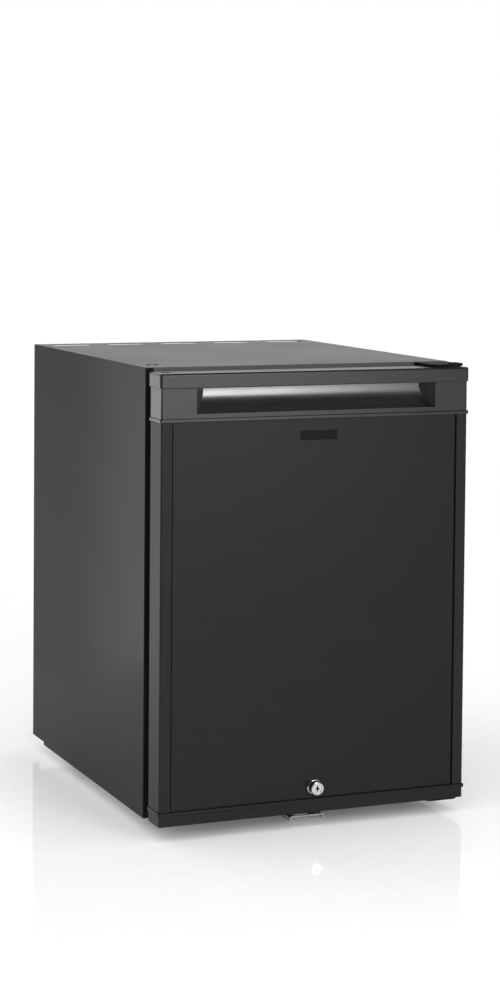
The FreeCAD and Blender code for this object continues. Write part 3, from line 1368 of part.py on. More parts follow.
def lock_plug():
    plug = rod("y", "plug_radius", f"{DOOR_FRONT} - {PLUG_FACE}", LOCK_REAR, ("0", LOCK_Z))
    depth = (f"{DOOR_FRONT} - {PLUG_FACE}", f"{DOOR_FRONT} - {PLUG_FACE} + key_depth")
    slot = block(both("key_width / 2"), depth, (f"{LOCK_Z} - key_length / 2", f"{LOCK_Z} + key_length / 2"))
    notch = block(both("notch_half"), depth, (f"{LOCK_Z} - key_width / 2", f"{LOCK_Z} + key_width / 2"))
    bore = rod("y", "cam_screw_radius", f"{LOCK_REAR} - cam_screw_depth", LOCK_REAR, ("0", LOCK_Z))
    keep(cut(plug, slot, notch, bore), "lock_plug")


def lock_nut():
    span = (PANEL_BACK, f"{PANEL_BACK} + nut_height")
    disc = rod("y", "nut_radius", *span, ("0", LOCK_Z))
    bore = rod("y", "barrel_radius + run_clear", *span, ("0", LOCK_Z))
    keep(cut(disc, bore), "lock_nut")


def lock_cam():
    """Points left while the lock is open, and turns down into the strike."""
    sides = (f"{LOCK_Z} - cam_half", f"{LOCK_Z} + cam_half")
    bar = block(("-cam_length + cam_half", "0"), CAM_Y, sides)
    tip = rod("y", "cam_half", *CAM_Y, ("-cam_length + cam_half", LOCK_Z))
    hub = rod("y", "plug_radius", *CAM_Y, ("0", LOCK_Z))
    bore = rod("y", "cam_screw_radius", *CAM_Y, ("0", LOCK_Z))
    keep(cut(fuse(bar, tip, hub), bore), "lock_cam")
    shank = rod("y", "cam_screw_radius", f"{LOCK_REAR} - cam_screw_depth", CAM_Y[1], ("0", LOCK_Z))
    head = rod("y", "2 * cam_screw_radius", CAM_Y[1], f"{CAM_Y[1]} + cam_head_height", ("0", LOCK_Z))
    keep(fuse(shank, head), "cam_screw")


# All pieces

def build():
    side_panel(-1, "left_side_panel")
    side_panel(1, "right_side_panel")
    top_panel()
    bottom_panel()
    rear_panel()
    front_frame()
    insulation_foam()
    inner_liner()
    wire_shelf(0, "lower_wire_shelf")
    wire_shelf(2, "upper_wire_shelf")
    evaporator_fins()
    evaporator_block()
    drip_tray()
    control_box()
    thermostat_switch()
    thermostat_knob()
    lamp()
    boiler()
    liquid_pipe()
    absorber_vessel()
    absorber_coil()
    condenser_tube()
    condenser_fins()
    unit_brackets()
    terminal_box()
    feet()
    strike_bracket()
    hinges()
    blanking_plugs()
    screws()
    door_panel()
    door_profile(-1, "door_profile_left")
    door_profile(1, "door_profile_right")
    door_top_trim()
    handle_cup()
    door_bottom_trim()
    badge_plate()
    door_liner()
    door_foam()
    door_gasket()
    keep(group(*magnet_strips()), "gasket_magnets")
    door_bin("lower_bin_lift", "lower_bin_height", "lower_door_bin")
    door_bin("upper_bin_lift", "upper_bin_height", "upper_door_bin")
    hinge_bushes()
    door_plugs()
    lock_housing()
    lock_nut()
    lock_plug()
    lock_cam()


def check_and_write():
    doc.recompute()
    for thing in doc.Objects:
        if "Invalid" in thing.State or "Error" in thing.State:
            raise RuntimeError(f"{thing.Name} of {thing.Label} failed")
    for piece in pieces:
        if piece.Shape.isNull() or not piece.Shape.isValid():
            raise RuntimeError(f"{piece.Label} has no valid shape")
    os.makedirs("parts", exist_ok=True)
    for piece in pieces:
        piece.Shape.exportStep(f"parts/{piece.Label}.step")


build()
check_and_write()
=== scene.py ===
import functools
import math

import bmesh
import bpy
from mathutils import Matrix, Vector


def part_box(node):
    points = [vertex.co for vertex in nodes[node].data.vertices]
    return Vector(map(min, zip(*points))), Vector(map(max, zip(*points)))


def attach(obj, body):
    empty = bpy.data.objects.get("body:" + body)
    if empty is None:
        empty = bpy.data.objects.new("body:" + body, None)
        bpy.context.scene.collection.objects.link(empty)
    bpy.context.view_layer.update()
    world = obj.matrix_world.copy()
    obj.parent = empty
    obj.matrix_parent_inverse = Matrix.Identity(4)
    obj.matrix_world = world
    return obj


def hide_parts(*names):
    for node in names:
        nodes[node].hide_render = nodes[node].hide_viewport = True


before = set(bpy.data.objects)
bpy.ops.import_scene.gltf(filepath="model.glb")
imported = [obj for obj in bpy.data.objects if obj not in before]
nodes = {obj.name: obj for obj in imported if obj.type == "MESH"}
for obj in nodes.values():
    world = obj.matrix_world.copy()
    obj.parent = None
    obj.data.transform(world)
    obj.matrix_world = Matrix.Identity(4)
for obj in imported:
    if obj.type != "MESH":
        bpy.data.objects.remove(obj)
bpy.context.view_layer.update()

# Finishes, small details, studio and camera of a minibar fridge, in metres.
# +Z is up, the door faces -Y and is hung on the +X side.

MM = 0.001


# Node trees

def add_node(tree, kind, inputs=None, **settings):
    """A new node with its settings, and with its inputs linked to sockets or set to values."""
    node = tree.nodes.new(kind)
    for name, value in settings.items():
        setattr(node, name, value)
    for name, value in (inputs or {}).items():
        if isinstance(value, bpy.types.NodeSocket):
            tree.links.new(value, node.inputs[name])
        else:
            node.inputs[name].default_value = value
    return node


def combine(tree, operation, first, second):
    """The two numbers, joined by a math operation."""
    return add_node(tree, "ShaderNodeMath", {0: first, 1: second}, operation=operation).outputs["Value"]


class Paint:
    """A material with one Principled shader, and short ways to add nodes to it."""

    def __init__(self, name, **sockets):
        self.material = bpy.data.materials.new(name)
        self.material.use_nodes = True
        self.tree = self.material.node_tree
        self.shader = self.tree.nodes["Principled BSDF"]
        self.place = self.add("ShaderNodeTexCoord").outputs["Object"]
        for socket, value in sockets.items():
            self.shader.inputs[socket.replace("_", " ")].default_value = value

    def add(self, kind, inputs=None, **settings):
        return add_node(self.tree, kind, inputs, **settings)

    def feed(self, socket, value):
        """Links a value to the shader."""
        self.tree.links.new(value, self.shader.inputs[socket])

    def stretched(self, *scale):
        """The surface's own coordinates, stretched along X, Y and Z."""
        return self.add("ShaderNodeMapping", {"Vector": self.place, "Scale": scale}).outputs["Vector"]

    def noise(self, scale, detail=2.0, stretch=None):
        vector = self.stretched(*stretch) if stretch else self.place
        node = self.add("ShaderNodeTexNoise", {"Vector": vector, "Scale": scale, "Detail": detail})
        return node.outputs["Fac"]

    def cells(self, scale):
        return self.add("ShaderNodeTexVoronoi", {"Vector": self.place, "Scale": scale})

    def spread(self, factor, low, high, start=0.3, end=0.7):
        """A number that goes from low to high as the factor goes from start to end."""
        inputs = {"Value": factor, "From Min": start, "From Max": end, "To Min": low, "To Max": high}
        return self.add("ShaderNodeMapRange", inputs).outputs["Result"]

    def shade(self, factor, dark, light):
        """Base colour between two colours."""
        colours = {"Factor": factor, "A": (*dark, 1), "B": (*light, 1)}
        self.feed("Base Color", self.add("ShaderNodeMix", colours, data_type="RGBA").outputs["Result"])

    def rough(self, factor, low, high):
        """Roughness between two values."""
        self.feed("Roughness", self.spread(factor, low, high))

    def bump(self, height, depth):
        """Raises the surface by up to the depth."""
        relief = {"Height": height, "Distance": depth, "Strength": 1.0}
        self.feed("Normal", self.add("ShaderNodeBump", relief).outputs["Normal"])


def grey(level, tint=0.0):
    """A neutral colour; a tint above 0 leans to blue."""
    return (level * (1 - tint), level, level * (1 + tint))


# Black outside

def cabinet_paint():
    paint = Paint("cabinet_paint", Specular_IOR_Level=0.034)
    cloud = paint.noise(5, detail=4)
    peel = paint.noise(900, detail=1)
    paint.shade(paint.spread(cloud, 0, 1), grey(0.007), grey(0.010))
    paint.rough(cloud, 0.19, 0.22)
    paint.bump(peel, 0.008 * MM)
    return paint.material


def lit_top_paint():
    """The same enamel as the sides, as a lit copy: a lighter base and stronger specular on the flat top
    paint in its bright sheen.
    """
    paint = Paint("lit_top_paint", Specular_IOR_Level=1.0)
    cloud = paint.noise(6, detail=4)
    peel = paint.noise(900, detail=1)
    paint.shade(paint.spread(cloud, 0, 1), grey(0.014), grey(0.018))
    paint.rough(cloud, 0.36, 0.42)
    paint.bump(peel, 0.012 * MM)
    return paint.material


def frame_paint_and_highlight():
    """A greyer, duller coat on the front that the seal closes on; its lighter grey is partly painted
    highlight for the rounded front fold.
    """
    paint = Paint("frame_paint_and_highlight", Specular_IOR_Level=0.5)
    cloud = paint.noise(7, detail=4)
    paint.shade(paint.spread(cloud, 0, 1), grey(0.052), grey(0.062))
    paint.rough(cloud, 0.44, 0.52)
    paint.bump(paint.noise(800, detail=2), 0.012 * MM)
    return paint.material


def door_film():
    """Laminate with faint horizontal hairlines."""
    paint = Paint("door_film", Specular_IOR_Level=0.22)
    hairline = paint.noise(1, detail=3, stretch=(14, 14, 2600))
    cloud = paint.noise(4, detail=3)
    paint.shade(paint.spread(hairline, 0, 1), grey(0.004), grey(0.008))
    paint.rough(combine(paint.tree, "MULTIPLY", hairline, cloud), 0.34, 0.46)
    paint.bump(hairline, 0.006 * MM)
    return paint.material


def trim_plastic():
    """Moulded plastic with a satin shine and faint lines along its length."""
    paint = Paint("trim_plastic", Specular_IOR_Level=0.42)
    grain = paint.noise(1500, detail=3)
    flow = paint.noise(1, detail=3, stretch=(12, 900, 1400))
    paint.shade(paint.spread(grain, 0, 1), grey(0.010), grey(0.016))
    paint.rough(flow, 0.24, 0.32)
    paint.bump(flow, 0.004 * MM)
    return paint.material


def plain_trim_and_lower_shade():
    """The same plastic as the top trim with a finer grain, darker as painted shade on the lower trim, and
    the plain colour of the small mouldings.
    """
    paint = Paint("plain_trim_and_lower_shade", Specular_IOR_Level=0.23)
    grain = paint.noise(1900, detail=2)
    paint.shade(paint.spread(grain, 0, 1), grey(0.005), grey(0.009))
    paint.rough(grain, 0.40, 0.48)
    paint.bump(grain, 0.02 * MM)
    return paint.material


def edge_profile():
    """Extruded door edges, smooth along their length."""
    paint = Paint("edge_profile", Specular_IOR_Level=0.09)
    draw = paint.noise(1, detail=3, stretch=(900, 900, 6))
    paint.shade(paint.spread(draw, 0, 1), grey(0.015), grey(0.020))
    paint.rough(draw, 0.34, 0.40)
    paint.bump(draw, 0.004 * MM)
    return paint.material


def handle_gloss():
    paint = Paint("handle_gloss", Specular_IOR_Level=1.0, Coat_Weight=1.0, Coat_Roughness=0.25, Coat_IOR=1.9)
    drift = paint.noise(26, detail=2, stretch=(0.6, 1, 1))
    paint.shade(paint.spread(drift, 0, 1), grey(0.006), grey(0.010))
    paint.rough(drift, 0.16, 0.24)
    paint.bump(drift, 0.05 * MM)
    return paint.material


def badge_gloss():
    paint = Paint("badge_gloss", Specular_IOR_Level=0.05)
    fleck = paint.noise(2200, detail=1)
    paint.shade(paint.spread(fleck, 0, 1), grey(0.003), grey(0.005))
    paint.rough(fleck, 0.10, 0.16)
    return paint.material


def hinge_black():
    paint = Paint("hinge_black", Specular_IOR_Level=0.08)
    grain = paint.noise(700, detail=3)
    paint.shade(paint.spread(grain, 0, 1), grey(0.004), grey(0.008))
    paint.rough(grain, 0.5, 0.62)
    paint.bump(grain, 0.02 * MM)
    return paint.material


def foot_rubber():
    paint = Paint("foot_rubber", Specular_IOR_Level=0.35)
    grain = paint.noise(420, detail=4)
    paint.shade(paint.spread(grain, 0, 1), grey(0.012), grey(0.022))
    paint.rough(grain, 0.55, 0.7)
    paint.bump(grain, 0.05 * MM)
    return paint.material


def seal_rubber():
    paint = Paint("seal_rubber", Specular_IOR_Level=0.4)
    flow = paint.noise(30, detail=3)
    paint.shade(paint.spread(flow, 0, 1), grey(0.010), grey(0.017))
    paint.rough(flow, 0.42, 0.58)
    paint.bump(flow, 0.08 * MM)
    return paint.material


def seam_shade_black():
    """Matt black beads in the seams of the door's front, whose near-black colour paints the shade in the
    seam grooves.
    """
    paint = Paint("seam_shade_black", Specular_IOR_Level=0.03)
    grain = paint.noise(900, detail=2)
    paint.shade(paint.spread(grain, 0, 1), grey(0.002), grey(0.004))
    paint.rough(grain, 0.6, 0.7)
    return paint.material


# Metals

def chrome():
    paint = Paint("chrome", Metallic=1.0)
    smear = paint.noise(160, detail=3)
    paint.shade(paint.spread(smear, 0, 1), grey(0.44, 0.01), grey(0.58, 0.01))
    paint.rough(smear, 0.10, 0.22)
    return paint.material


def galvanised_steel():
    """Zinc spangle: flat crystals of slightly different grey."""
    paint = Paint("galvanised_steel", Metallic=1.0)
    crystal = paint.cells(220).outputs["Color"]
    shade = paint.add("ShaderNodeRGBToBW", {"Color": crystal}).outputs["Val"]
    paint.shade(paint.spread(shade, 0, 1, 0.1, 0.9), grey(0.43, 0.01), grey(0.52, 0.02))
    paint.rough(shade, 0.44, 0.50)
    paint.bump(paint.noise(700, detail=2), 0.008 * MM)
    return paint.material


def aluminium():
    """Extrusion with drawing lines along Z."""
    paint = Paint("aluminium", Metallic=1.0)
    lines = paint.noise(1, detail=3, stretch=(2400, 2400, 10))
    paint.shade(paint.spread(lines, 0, 1), grey(0.52, 0.01), grey(0.70, 0.01))
    paint.rough(lines, 0.28, 0.42)
    paint.bump(lines, 0.02 * MM)
    return paint.material


def unit_black():
    """Dipped black enamel on the welded tubes."""
    paint = Paint("unit_black", Specular_IOR_Level=0.5)
    cloud = paint.noise(18, detail=5)
    peel = paint.noise(340, detail=3)
    paint.shade(paint.spread(cloud, 0, 1), grey(0.010), grey(0.024))
    paint.rough(cloud, 0.34, 0.55)
    paint.bump(peel, 0.06 * MM)
    return paint.material


# White and pale inside

def liner_white():
    paint = Paint("liner_white", Specular_IOR_Level=0.5)
    cloud = paint.noise(6, detail=3)
    peel = paint.noise(520, detail=2)
    paint.shade(paint.spread(cloud, 0, 1), (0.70, 0.71, 0.71), (0.76, 0.765, 0.76))
    paint.rough(peel, 0.30, 0.40)
    paint.bump(peel, 0.02 * MM)
    return paint.material


def knob_grey():
    paint = Paint("knob_grey", Specular_IOR_Level=0.5)
    grain = paint.noise(1300, detail=2)
    paint.shade(paint.spread(grain, 0, 1), grey(0.46), grey(0.52))
    paint.rough(grain, 0.36, 0.46)
    paint.bump(grain, 0.02 * MM)
    return paint.material


def coated_wire():
    paint = Paint("coated_wire", Specular_IOR_Level=0.5)
    flow = paint.noise(90, detail=2)
    paint.shade(paint.spread(flow, 0, 1), (0.72, 0.72, 0.70), (0.80, 0.80, 0.78))
    paint.rough(flow, 0.22, 0.34)
    paint.bump(flow, 0.05 * MM)
    return paint.material


def clear_plastic():
    """Clear bins, a little smoky and with moulding haze."""
    paint = Paint("clear_plastic", Transmission_Weight=0.96, IOR=1.40)
    haze = paint.noise(22, detail=3)
    paint.shade(paint.spread(haze, 0, 1), (0.93, 0.955, 0.96), (0.97, 0.98, 0.985))
    paint.rough(haze, 0.03, 0.08)
    return paint.material


def lamp_lens():
    """Frosted lens with fine ribs."""
    paint = Paint("lamp_lens", Transmission_Weight=0.5, IOR=1.46)
    ribs = paint.add("ShaderNodeTexWave", {"Vector": paint.place, "Scale": 70.0}).outputs["Fac"]
    paint.shade(ribs, (0.82, 0.82, 0.78), (0.92, 0.92, 0.88))
    paint.rough(ribs, 0.35, 0.5)
    paint.bump(ribs, 0.3 * MM)
    return paint.material


def foam():
    paint = Paint("foam", Specular_IOR_Level=0.2)
    bubble = paint.cells(900).outputs["Distance"]
    paint.shade(paint.spread(bubble, 0, 1, 0, 0.8), (0.58, 0.47, 0.24), (0.74, 0.64, 0.38))
    paint.rough(bubble, 0.8, 0.95)
    paint.bump(bubble, 0.4 * MM)
    return paint.material


def magnet_strip():
    paint = Paint("magnet_strip", Specular_IOR_Level=0.3)
    fleck = paint.noise(800, detail=3)
    paint.shade(paint.spread(fleck, 0, 1), (0.05, 0.033, 0.024), (0.09, 0.062, 0.045))
    paint.rough(fleck, 0.5, 0.7)
    return paint.material


def nylon():
    paint = Paint("nylon", Specular_IOR_Level=0.45)
    cloud = paint.noise(60, detail=3)
    paint.shade(paint.spread(cloud, 0, 1), (0.50, 0.48, 0.42), (0.60, 0.58, 0.52))
    paint.rough(cloud, 0.36, 0.5)
    return paint.material


def board_green():
    """Solder mask with straight copper tracks."""
    paint = Paint("board_green", Specular_IOR_Level=0.5)
    tracks = paint.add("ShaderNodeTexWave", {"Vector": paint.place, "Scale": 120.0, "Distortion": 3.0})
    paint.shade(paint.spread(tracks.outputs["Fac"], 0, 1, 0.6, 0.7), (0.02, 0.11, 0.045), (0.05, 0.20, 0.09))
    paint.rough(tracks.outputs["Fac"], 0.25, 0.4)
    return paint.material


FINISHES = {
    cabinet_paint: "left_side_panel right_side_panel",
    lit_top_paint: "top_panel",
    frame_paint_and_highlight: "front_frame",
    hinge_black: "top_hinge_plate bottom_hinge_plate hinge_pins",
    galvanised_steel: "bottom_panel rear_panel strike_bracket cabinet_screws unit_brackets boiler_jacket "
                      "lock_nut lock_cam cam_screw heater_cartridge",
    trim_plastic: "door_top_trim",
    plain_trim_and_lower_shade: "door_bottom_trim blanking_plugs door_plugs terminal_box cable_gland",
    edge_profile: "door_profile_left door_profile_right",
    foot_rubber: "rear_feet front_left_foot front_right_foot",
    door_film: "door_panel",
    handle_gloss: "handle_cup",
    badge_gloss: "badge_plate",
    chrome: "lock_housing lock_plug",
    seal_rubber: "door_gasket",
    magnet_strip: "gasket_magnets",
    liner_white: "inner_liner door_liner drip_tray control_box",
    knob_grey: "thermostat_knob",
    foam: "insulation_foam door_foam",
    clear_plastic: "upper_door_bin lower_door_bin",
    coated_wire: "upper_wire_shelf lower_wire_shelf",
    aluminium: "evaporator_fins evaporator_block",
    unit_black: "condenser_tube condenser_fins absorber_vessel absorber_coil boiler_tube liquid_pipe",
    nylon: "hinge_bushes foot_sockets thermostat_switch",
    lamp_lens: "lamp_lens",
    board_green: "lamp_board",
}


@functools.cache
def material_of(finish):
    """The finish's material, which is made at its first use."""
    return finish()


def dress_nodes():
    for finish, names in FINISHES.items():
        for name in names.split():
            mesh = nodes[name].data
            mesh.materials.clear()
            mesh.materials.append(material_of(finish))


dress_nodes()


# Rounded edges on the sheet metal and mouldings

EDGE_ROUNDS = {
    0.5 * MM: "door_top_trim door_bottom_trim control_box drip_tray terminal_box",
    0.3 * MM: "door_profile_left door_profile_right left_side_panel right_side_panel front_frame "
              "top_hinge_plate bottom_hinge_plate badge_plate unit_brackets",
    0.25 * MM: "top_panel lock_plug lock_cam hinge_pins blanking_plugs door_plugs",
}
WELD_REACH = 0.01 * MM
SHARP = math.radians(35)


def round_edges(node, width):
    """Joins the node's faces and bevels its sharp edges."""
    weld = node.modifiers.new("Weld", "WELD")
    weld.merge_threshold = WELD_REACH
    bevel = node.modifiers.new("Bevel", "BEVEL")
    bevel.width = width
    bevel.segments = 2
    bevel.limit_method = "ANGLE"
    bevel.angle_limit = SHARP
    bevel.harden_normals = True


for width, names in EDGE_ROUNDS.items():
    for name in names.split():
        round_edges(nodes[name], width)


# Building blocks of the detail pieces, in millimetres

def place_at(x, y, z, axis=(0, 0, 1)):
    """A place whose own Z axis points along the axis."""
    turn = Vector(axis).to_track_quat("Z", "Y").to_matrix().to_4x4()
    return Matrix.Translation(Vector((x, y, z)) * MM) @ turn


def point(shape, x, y, z, place=Matrix()):
    """A new corner of the shape, measured from the place."""
    return shape.verts.new(place @ (Vector((x, y, z)) * MM))


def skin(shape, rings, closed=True, smooth=True):
    """Faces from each ring of points to the next; a ring of one point is a tip."""
    sides = max(len(ring) for ring in rings)
    following = rings[1:] + (rings[:1] if closed else [])
    for first, second in zip(rings, following):
        for side in range(sides):
            after = side + 1
            corners = (first[side % len(first)], first[after % len(first)],
                       second[after % len(second)], second[side % len(second)])
            shape.faces.new(list(dict.fromkeys(corners))).smooth = smooth


def spin(shape, profile, place, steps=48, closed=False, smooth=True):
    """Turns a profile of (radius, height) round the place's Z axis."""
    rings = []
    for radius, height in profile:
        angles = [2 * math.pi * step / steps for step in range(steps if radius else 1)]
        rings.append([point(shape, radius * math.cos(angle), radius * math.sin(angle), height, place)
                      for angle in angles])
    skin(shape, rings, closed, smooth)


def slab(shape, low, high, rounding, place=Matrix()):
    """A block between two corners, with rounded edges."""
    low, high = Vector(low), Vector(high)
    stretch = Matrix.Diagonal((*((high - low) * MM), 1))
    middle = Matrix.Translation((low + high) / 2 * MM)
    box = bmesh.ops.create_cube(shape, size=1.0, matrix=place @ middle @ stretch)
    edges = dict.fromkeys(edge for corner in box["verts"] for edge in corner.link_edges)
    bmesh.ops.bevel(shape, geom=list(edges), offset=rounding * MM, segments=2, profile=0.5, affect="EDGES")


def mesh_of(name, build):
    """The mesh that a build function makes, with its faces turned outward."""
    shape = bmesh.new()
    build(shape)
    bmesh.ops.recalc_face_normals(shape, faces=shape.faces)
    mesh = bpy.data.meshes.new(name)
    shape.to_mesh(mesh)
    shape.free()
    return mesh


def add_piece(name, build, body, slot, finish, *stands_for):
    """Makes a piece with the build function, on a body, in place of the nodes that it stands for."""
    mesh = mesh_of(name, build)
    mesh.materials.append(material_of(finish))
    piece = bpy.data.objects.new(name, mesh)
    bpy.context.scene.collection.objects.link(piece)
    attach(piece, body)
    if stands_for:
        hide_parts(*stands_for)
    return piece


def carve(piece, build):
    """Takes a shape out of a piece."""
    tool = bpy.data.objects.new("cutter", mesh_of("cutter", build))
    bpy.context.scene.collection.objects.link(tool)
    cut = piece.modifiers.new("Cut", "BOOLEAN")
    cut.operation = "DIFFERENCE"
    cut.object = tool
    graph = bpy.context.evaluated_depsgraph_get()
    mesh = bpy.data.meshes.new_from_object(piece.evaluated_get(graph))
    piece.modifiers.clear()
    piece.data = mesh
    bpy.data.objects.remove(tool)


# Door seal: one bellows section, mitred at the four corners

SEAL_X = 188
SEAL_LOW = 29
SEAL_HIGH = 545
SEAL_WIDTH = 16
SEAL_FOOT = -207.5
# Half of the section: inward from the outer edge, and away from the foot on the door
SEAL_HALF = (
    (8, 0), (1.2, 0), (0.6, 0.9), (0.8, 2.5), (1.8, 3.5), (3.6, 4.1), (4.4, 5.1), (4.2, 6.1), (2.4, 6.9),
    (0.8, 8.1), (0.2, 9.9), (0.3, 12.3), (1.2, 14.3), (2.8, 15.3), (4.6, 15.6), (6, 15.5), (6.8, 15.1),
    (8, 15),
)


def door_seal(shape):
    far_half = [(SEAL_WIDTH - inward, rise) for inward, rise in reversed(SEAL_HALF[1:-1])]
    rings = []
    for inward, rise in (*SEAL_HALF, *far_half):
        x = SEAL_X - inward
        low, high = SEAL_LOW + inward, SEAL_HIGH - inward
        corners = ((-x, low), (x, low), (x, high), (-x, high))
        rings.append([point(shape, across, SEAL_FOOT + rise, up) for across, up in corners])
    skin(shape, rings)
    for first, second in zip(rings, rings[1:] + rings[:1]):
        for mitre in zip(first, second):
            shape.edges.get(mitre).smooth = False


# Screws with cross recesses: where each head sits, and the way it faces

HINGE_SCREWS = [(x, -194.5, z, (0, -1, 0)) for x in (165.75, 187.25) for z in (23, 550.5)]
STRIKE_SCREWS = [(x, -171, 14.5, (0, 0, -1)) for x in (-9.5, 13.5)]
BRACKET_SCREWS = [(x, 194, z, (0, 1, 0)) for x in (32, 68) for z in (116, 284)]
LID_SCREWS = [(x, 228, 125, (0, 1, 0)) for x in (-184, -152)]
SCREW_PROFILE = (
    (0, -6), (1.2, -5.4), (1.6, -4.8), (1.6, 0), (3.6, 0), (3.6, 0.5), (3.3, 1.1), (2.7, 1.6), (1.8, 1.9),
    (0.9, 2), (0, 2),
)
CROSS_ARM = 1.9
CROSS_HALF = 0.45
# Height over the seat and scale, at the two ends of a recess
CROSS_ENDS = ((2.4, 1.0), (0.8, 0.6))


def cross(shape, place):
    """A tapered cross that reaches from above a head into it."""
    quarter = ((CROSS_HALF, CROSS_HALF), (CROSS_HALF, CROSS_ARM), (-CROSS_HALF, CROSS_ARM))
    turns = [Matrix.Rotation(math.radians(90 * index), 2) for index in range(4)]
    outline = [turn @ Vector(corner) for turn in turns for corner in quarter]
    ends = []
    for height, scale in CROSS_ENDS:
        ends.append([point(shape, *(spot * scale), height, place) for spot in outline])
    skin(shape, ends, closed=False, smooth=False)
    for end in ends:
        shape.faces.new(end)


def add_screws(name, seats, *stands_for):
    """One piece with a screw on each seat and a cross recess in each head."""
    places = [place_at(*seat) for seat in seats]

    def screws(shape):
        for place in places:
            spin(shape, SCREW_PROFILE, place, steps=32)

    def recesses(shape):
        for place in places:
            cross(shape, place)

    piece = add_piece(name, screws, "cabinet", "galvanised_steel", galvanised_steel, *stands_for)
    carve(piece, recesses)


# Door front

SEAM_X = 187
BEAD = 1.8
BEAD_REACH = 0.25
LOCK_Z = 49
# Half width and half height of the two strokes of the keyway
KEY_STROKES = ((0.85, 3.45), (2.25, 0.85))
KEY_DEPTHS = (0.5, 3.9)


def panel_shade_beads(shape):
    """Thin near-black beads that close the seams between the panel and its side profiles, as painted shade
    for the seam grooves.
    """
    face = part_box("door_panel")[0].y / MM
    low, high = (corner.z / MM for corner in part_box("door_profile_left"))
    for left, right in ((-SEAM_X, BEAD - SEAM_X), (SEAM_X - BEAD, SEAM_X)):
        slab(shape, (left, face - BEAD_REACH, low), (right, face + BEAD_REACH, high), rounding=0.15)


def keyway_shade(shape):
    """The dark cross at the bottom of the keyway, as painted shade for the keyway's depth."""
    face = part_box("lock_plug")[0].y / MM
    front, back = (face + depth for depth in KEY_DEPTHS)
    for across, up in KEY_STROKES:
        slab(shape, (-across, front, LOCK_Z - up), (across, back, LOCK_Z + up), rounding=0.1)


# Strike: a folded plate with rounded bends, a slot for the cam and a leaf under the base

STRIKE_SIDES = (-21, 25)
STRIKE_FRONT = -219.5
STRIKE_RISER = (-189.5, -188)
STRIKE_LEAF_END = -161.5
STRIKE_LIP_END = 2
STRIKE_TOP = 8
STRIKE_LEAF = (14.5, 16)
STRIKE_THICK = 1.5
STRIKE_BEND = 3.2
STRIKE_SLOT = ((-14.1, -216.5, 6), (6, -212, 8.5))
BEND_STEPS = 8
TOUCH = 0.05


def fold_stations():
    """Outer and inner points of the folded section, from the left lip's end to the right lip's end."""
    stations = []
    for side, turn in zip(STRIKE_SIDES, (1, -1)):
        middle = Vector((side + turn * STRIKE_BEND, STRIKE_TOP - STRIKE_BEND))
        half = [(Vector((side, STRIKE_LIP_END)), Vector((side + turn * STRIKE_THICK, STRIKE_LIP_END)))]
        for step in range(BEND_STEPS + 1):
            angle = math.pi / 2 * step / BEND_STEPS
            out = Vector((-turn * math.cos(angle), math.sin(angle)))
            half.append((middle + out * STRIKE_BEND, middle + out * (STRIKE_BEND - STRIKE_THICK)))
        stations += half if turn > 0 else reversed(half)
    return stations


def strike_plate(shape):
    riser_front, riser_back = STRIKE_RISER
    front, back = STRIKE_FRONT, riser_front - TOUCH
    rows = []
    for outer, inner in fold_stations():
        spots = ((outer, front), (inner, front), (inner, back), (outer, back))
        rows.append([point(shape, spot.x, depth, spot.y) for spot, depth in spots])
    skin(shape, rows, closed=False, smooth=False)
    shape.faces.new(rows[0])
    shape.faces.new(rows[-1])
    left, right = STRIKE_SIDES
    leaf_low, leaf_high = STRIKE_LEAF
    riser_low = STRIKE_TOP - STRIKE_THICK
    slab(shape, (left, riser_front, riser_low), (right, riser_back, leaf_low - TOUCH), rounding=0.3)
    slab(shape, (left, riser_front, leaf_low), (right, STRIKE_LEAF_END, leaf_high), rounding=0.3)


def strike_slot(shape):
    slab(shape, *STRIKE_SLOT, rounding=0.4)


# Thermostat dial

KNOB_X = 120
KNOB_Z = 509
DIAL_STEPS = 7
DIAL_RANGE = 270
TICK_HALF = 0.4
TICK_START = 13.2
TICK_END = 14.3
TICK_GROWTH = 0.25
TICK_DEPTHS = (-0.2, 0.3)
POINTER_HALF = 0.6
POINTER_REACH = (3, 9)
POINTER_DEPTHS = (-0.15, 0.4)


def dial_marks(shape):
    """Raised ticks round the knob, each longer than the last."""
    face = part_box("control_box")[0].y / MM
    front, back = TICK_DEPTHS
    for index in range(DIAL_STEPS):
        turn = Matrix.Rotation(math.radians(DIAL_RANGE * index / (DIAL_STEPS - 1)), 4, (0, -1, 0))
        place = place_at(KNOB_X, face, KNOB_Z) @ turn
        end = TICK_END + TICK_GROWTH * index
        slab(shape, (-TICK_HALF, front, TICK_START), (TICK_HALF, back, end), rounding=0.1, place=place)


def knob_pointer(shape):
    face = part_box("thermostat_knob")[0].y / MM
    place = place_at(KNOB_X, face, KNOB_Z)
    sides = (-POINTER_HALF, POINTER_HALF)
    slab(shape, *zip(sides, POINTER_DEPTHS, POINTER_REACH), rounding=0.12, place=place)


# Cooling unit

TUBE_Y = 223.5
BOILER_X = -112
# Middle, axis and tube radius of each weld
WELDS = (
    ((BOILER_X, TUBE_Y, 346), (0, 0, 1), 8),
    ((BOILER_X, TUBE_Y, 88), (0, 0, 1), 6),
    ((-62, TUBE_Y, 61), (1, 0, 0), 6),
    ((118, TUBE_Y, 61), (1, 0, 0), 8),
    ((-50, TUBE_Y, 398), (0, 0, 1), 8),
)
WELD_STEPS = 60
WELD_SIDES = 8
WELD_BULGE = 1.3
WELD_STRETCH = 1.5
# How many ripples go round a weld, and how high they are
WELD_RIPPLES = ((12, 0.25), (5, 0.1))


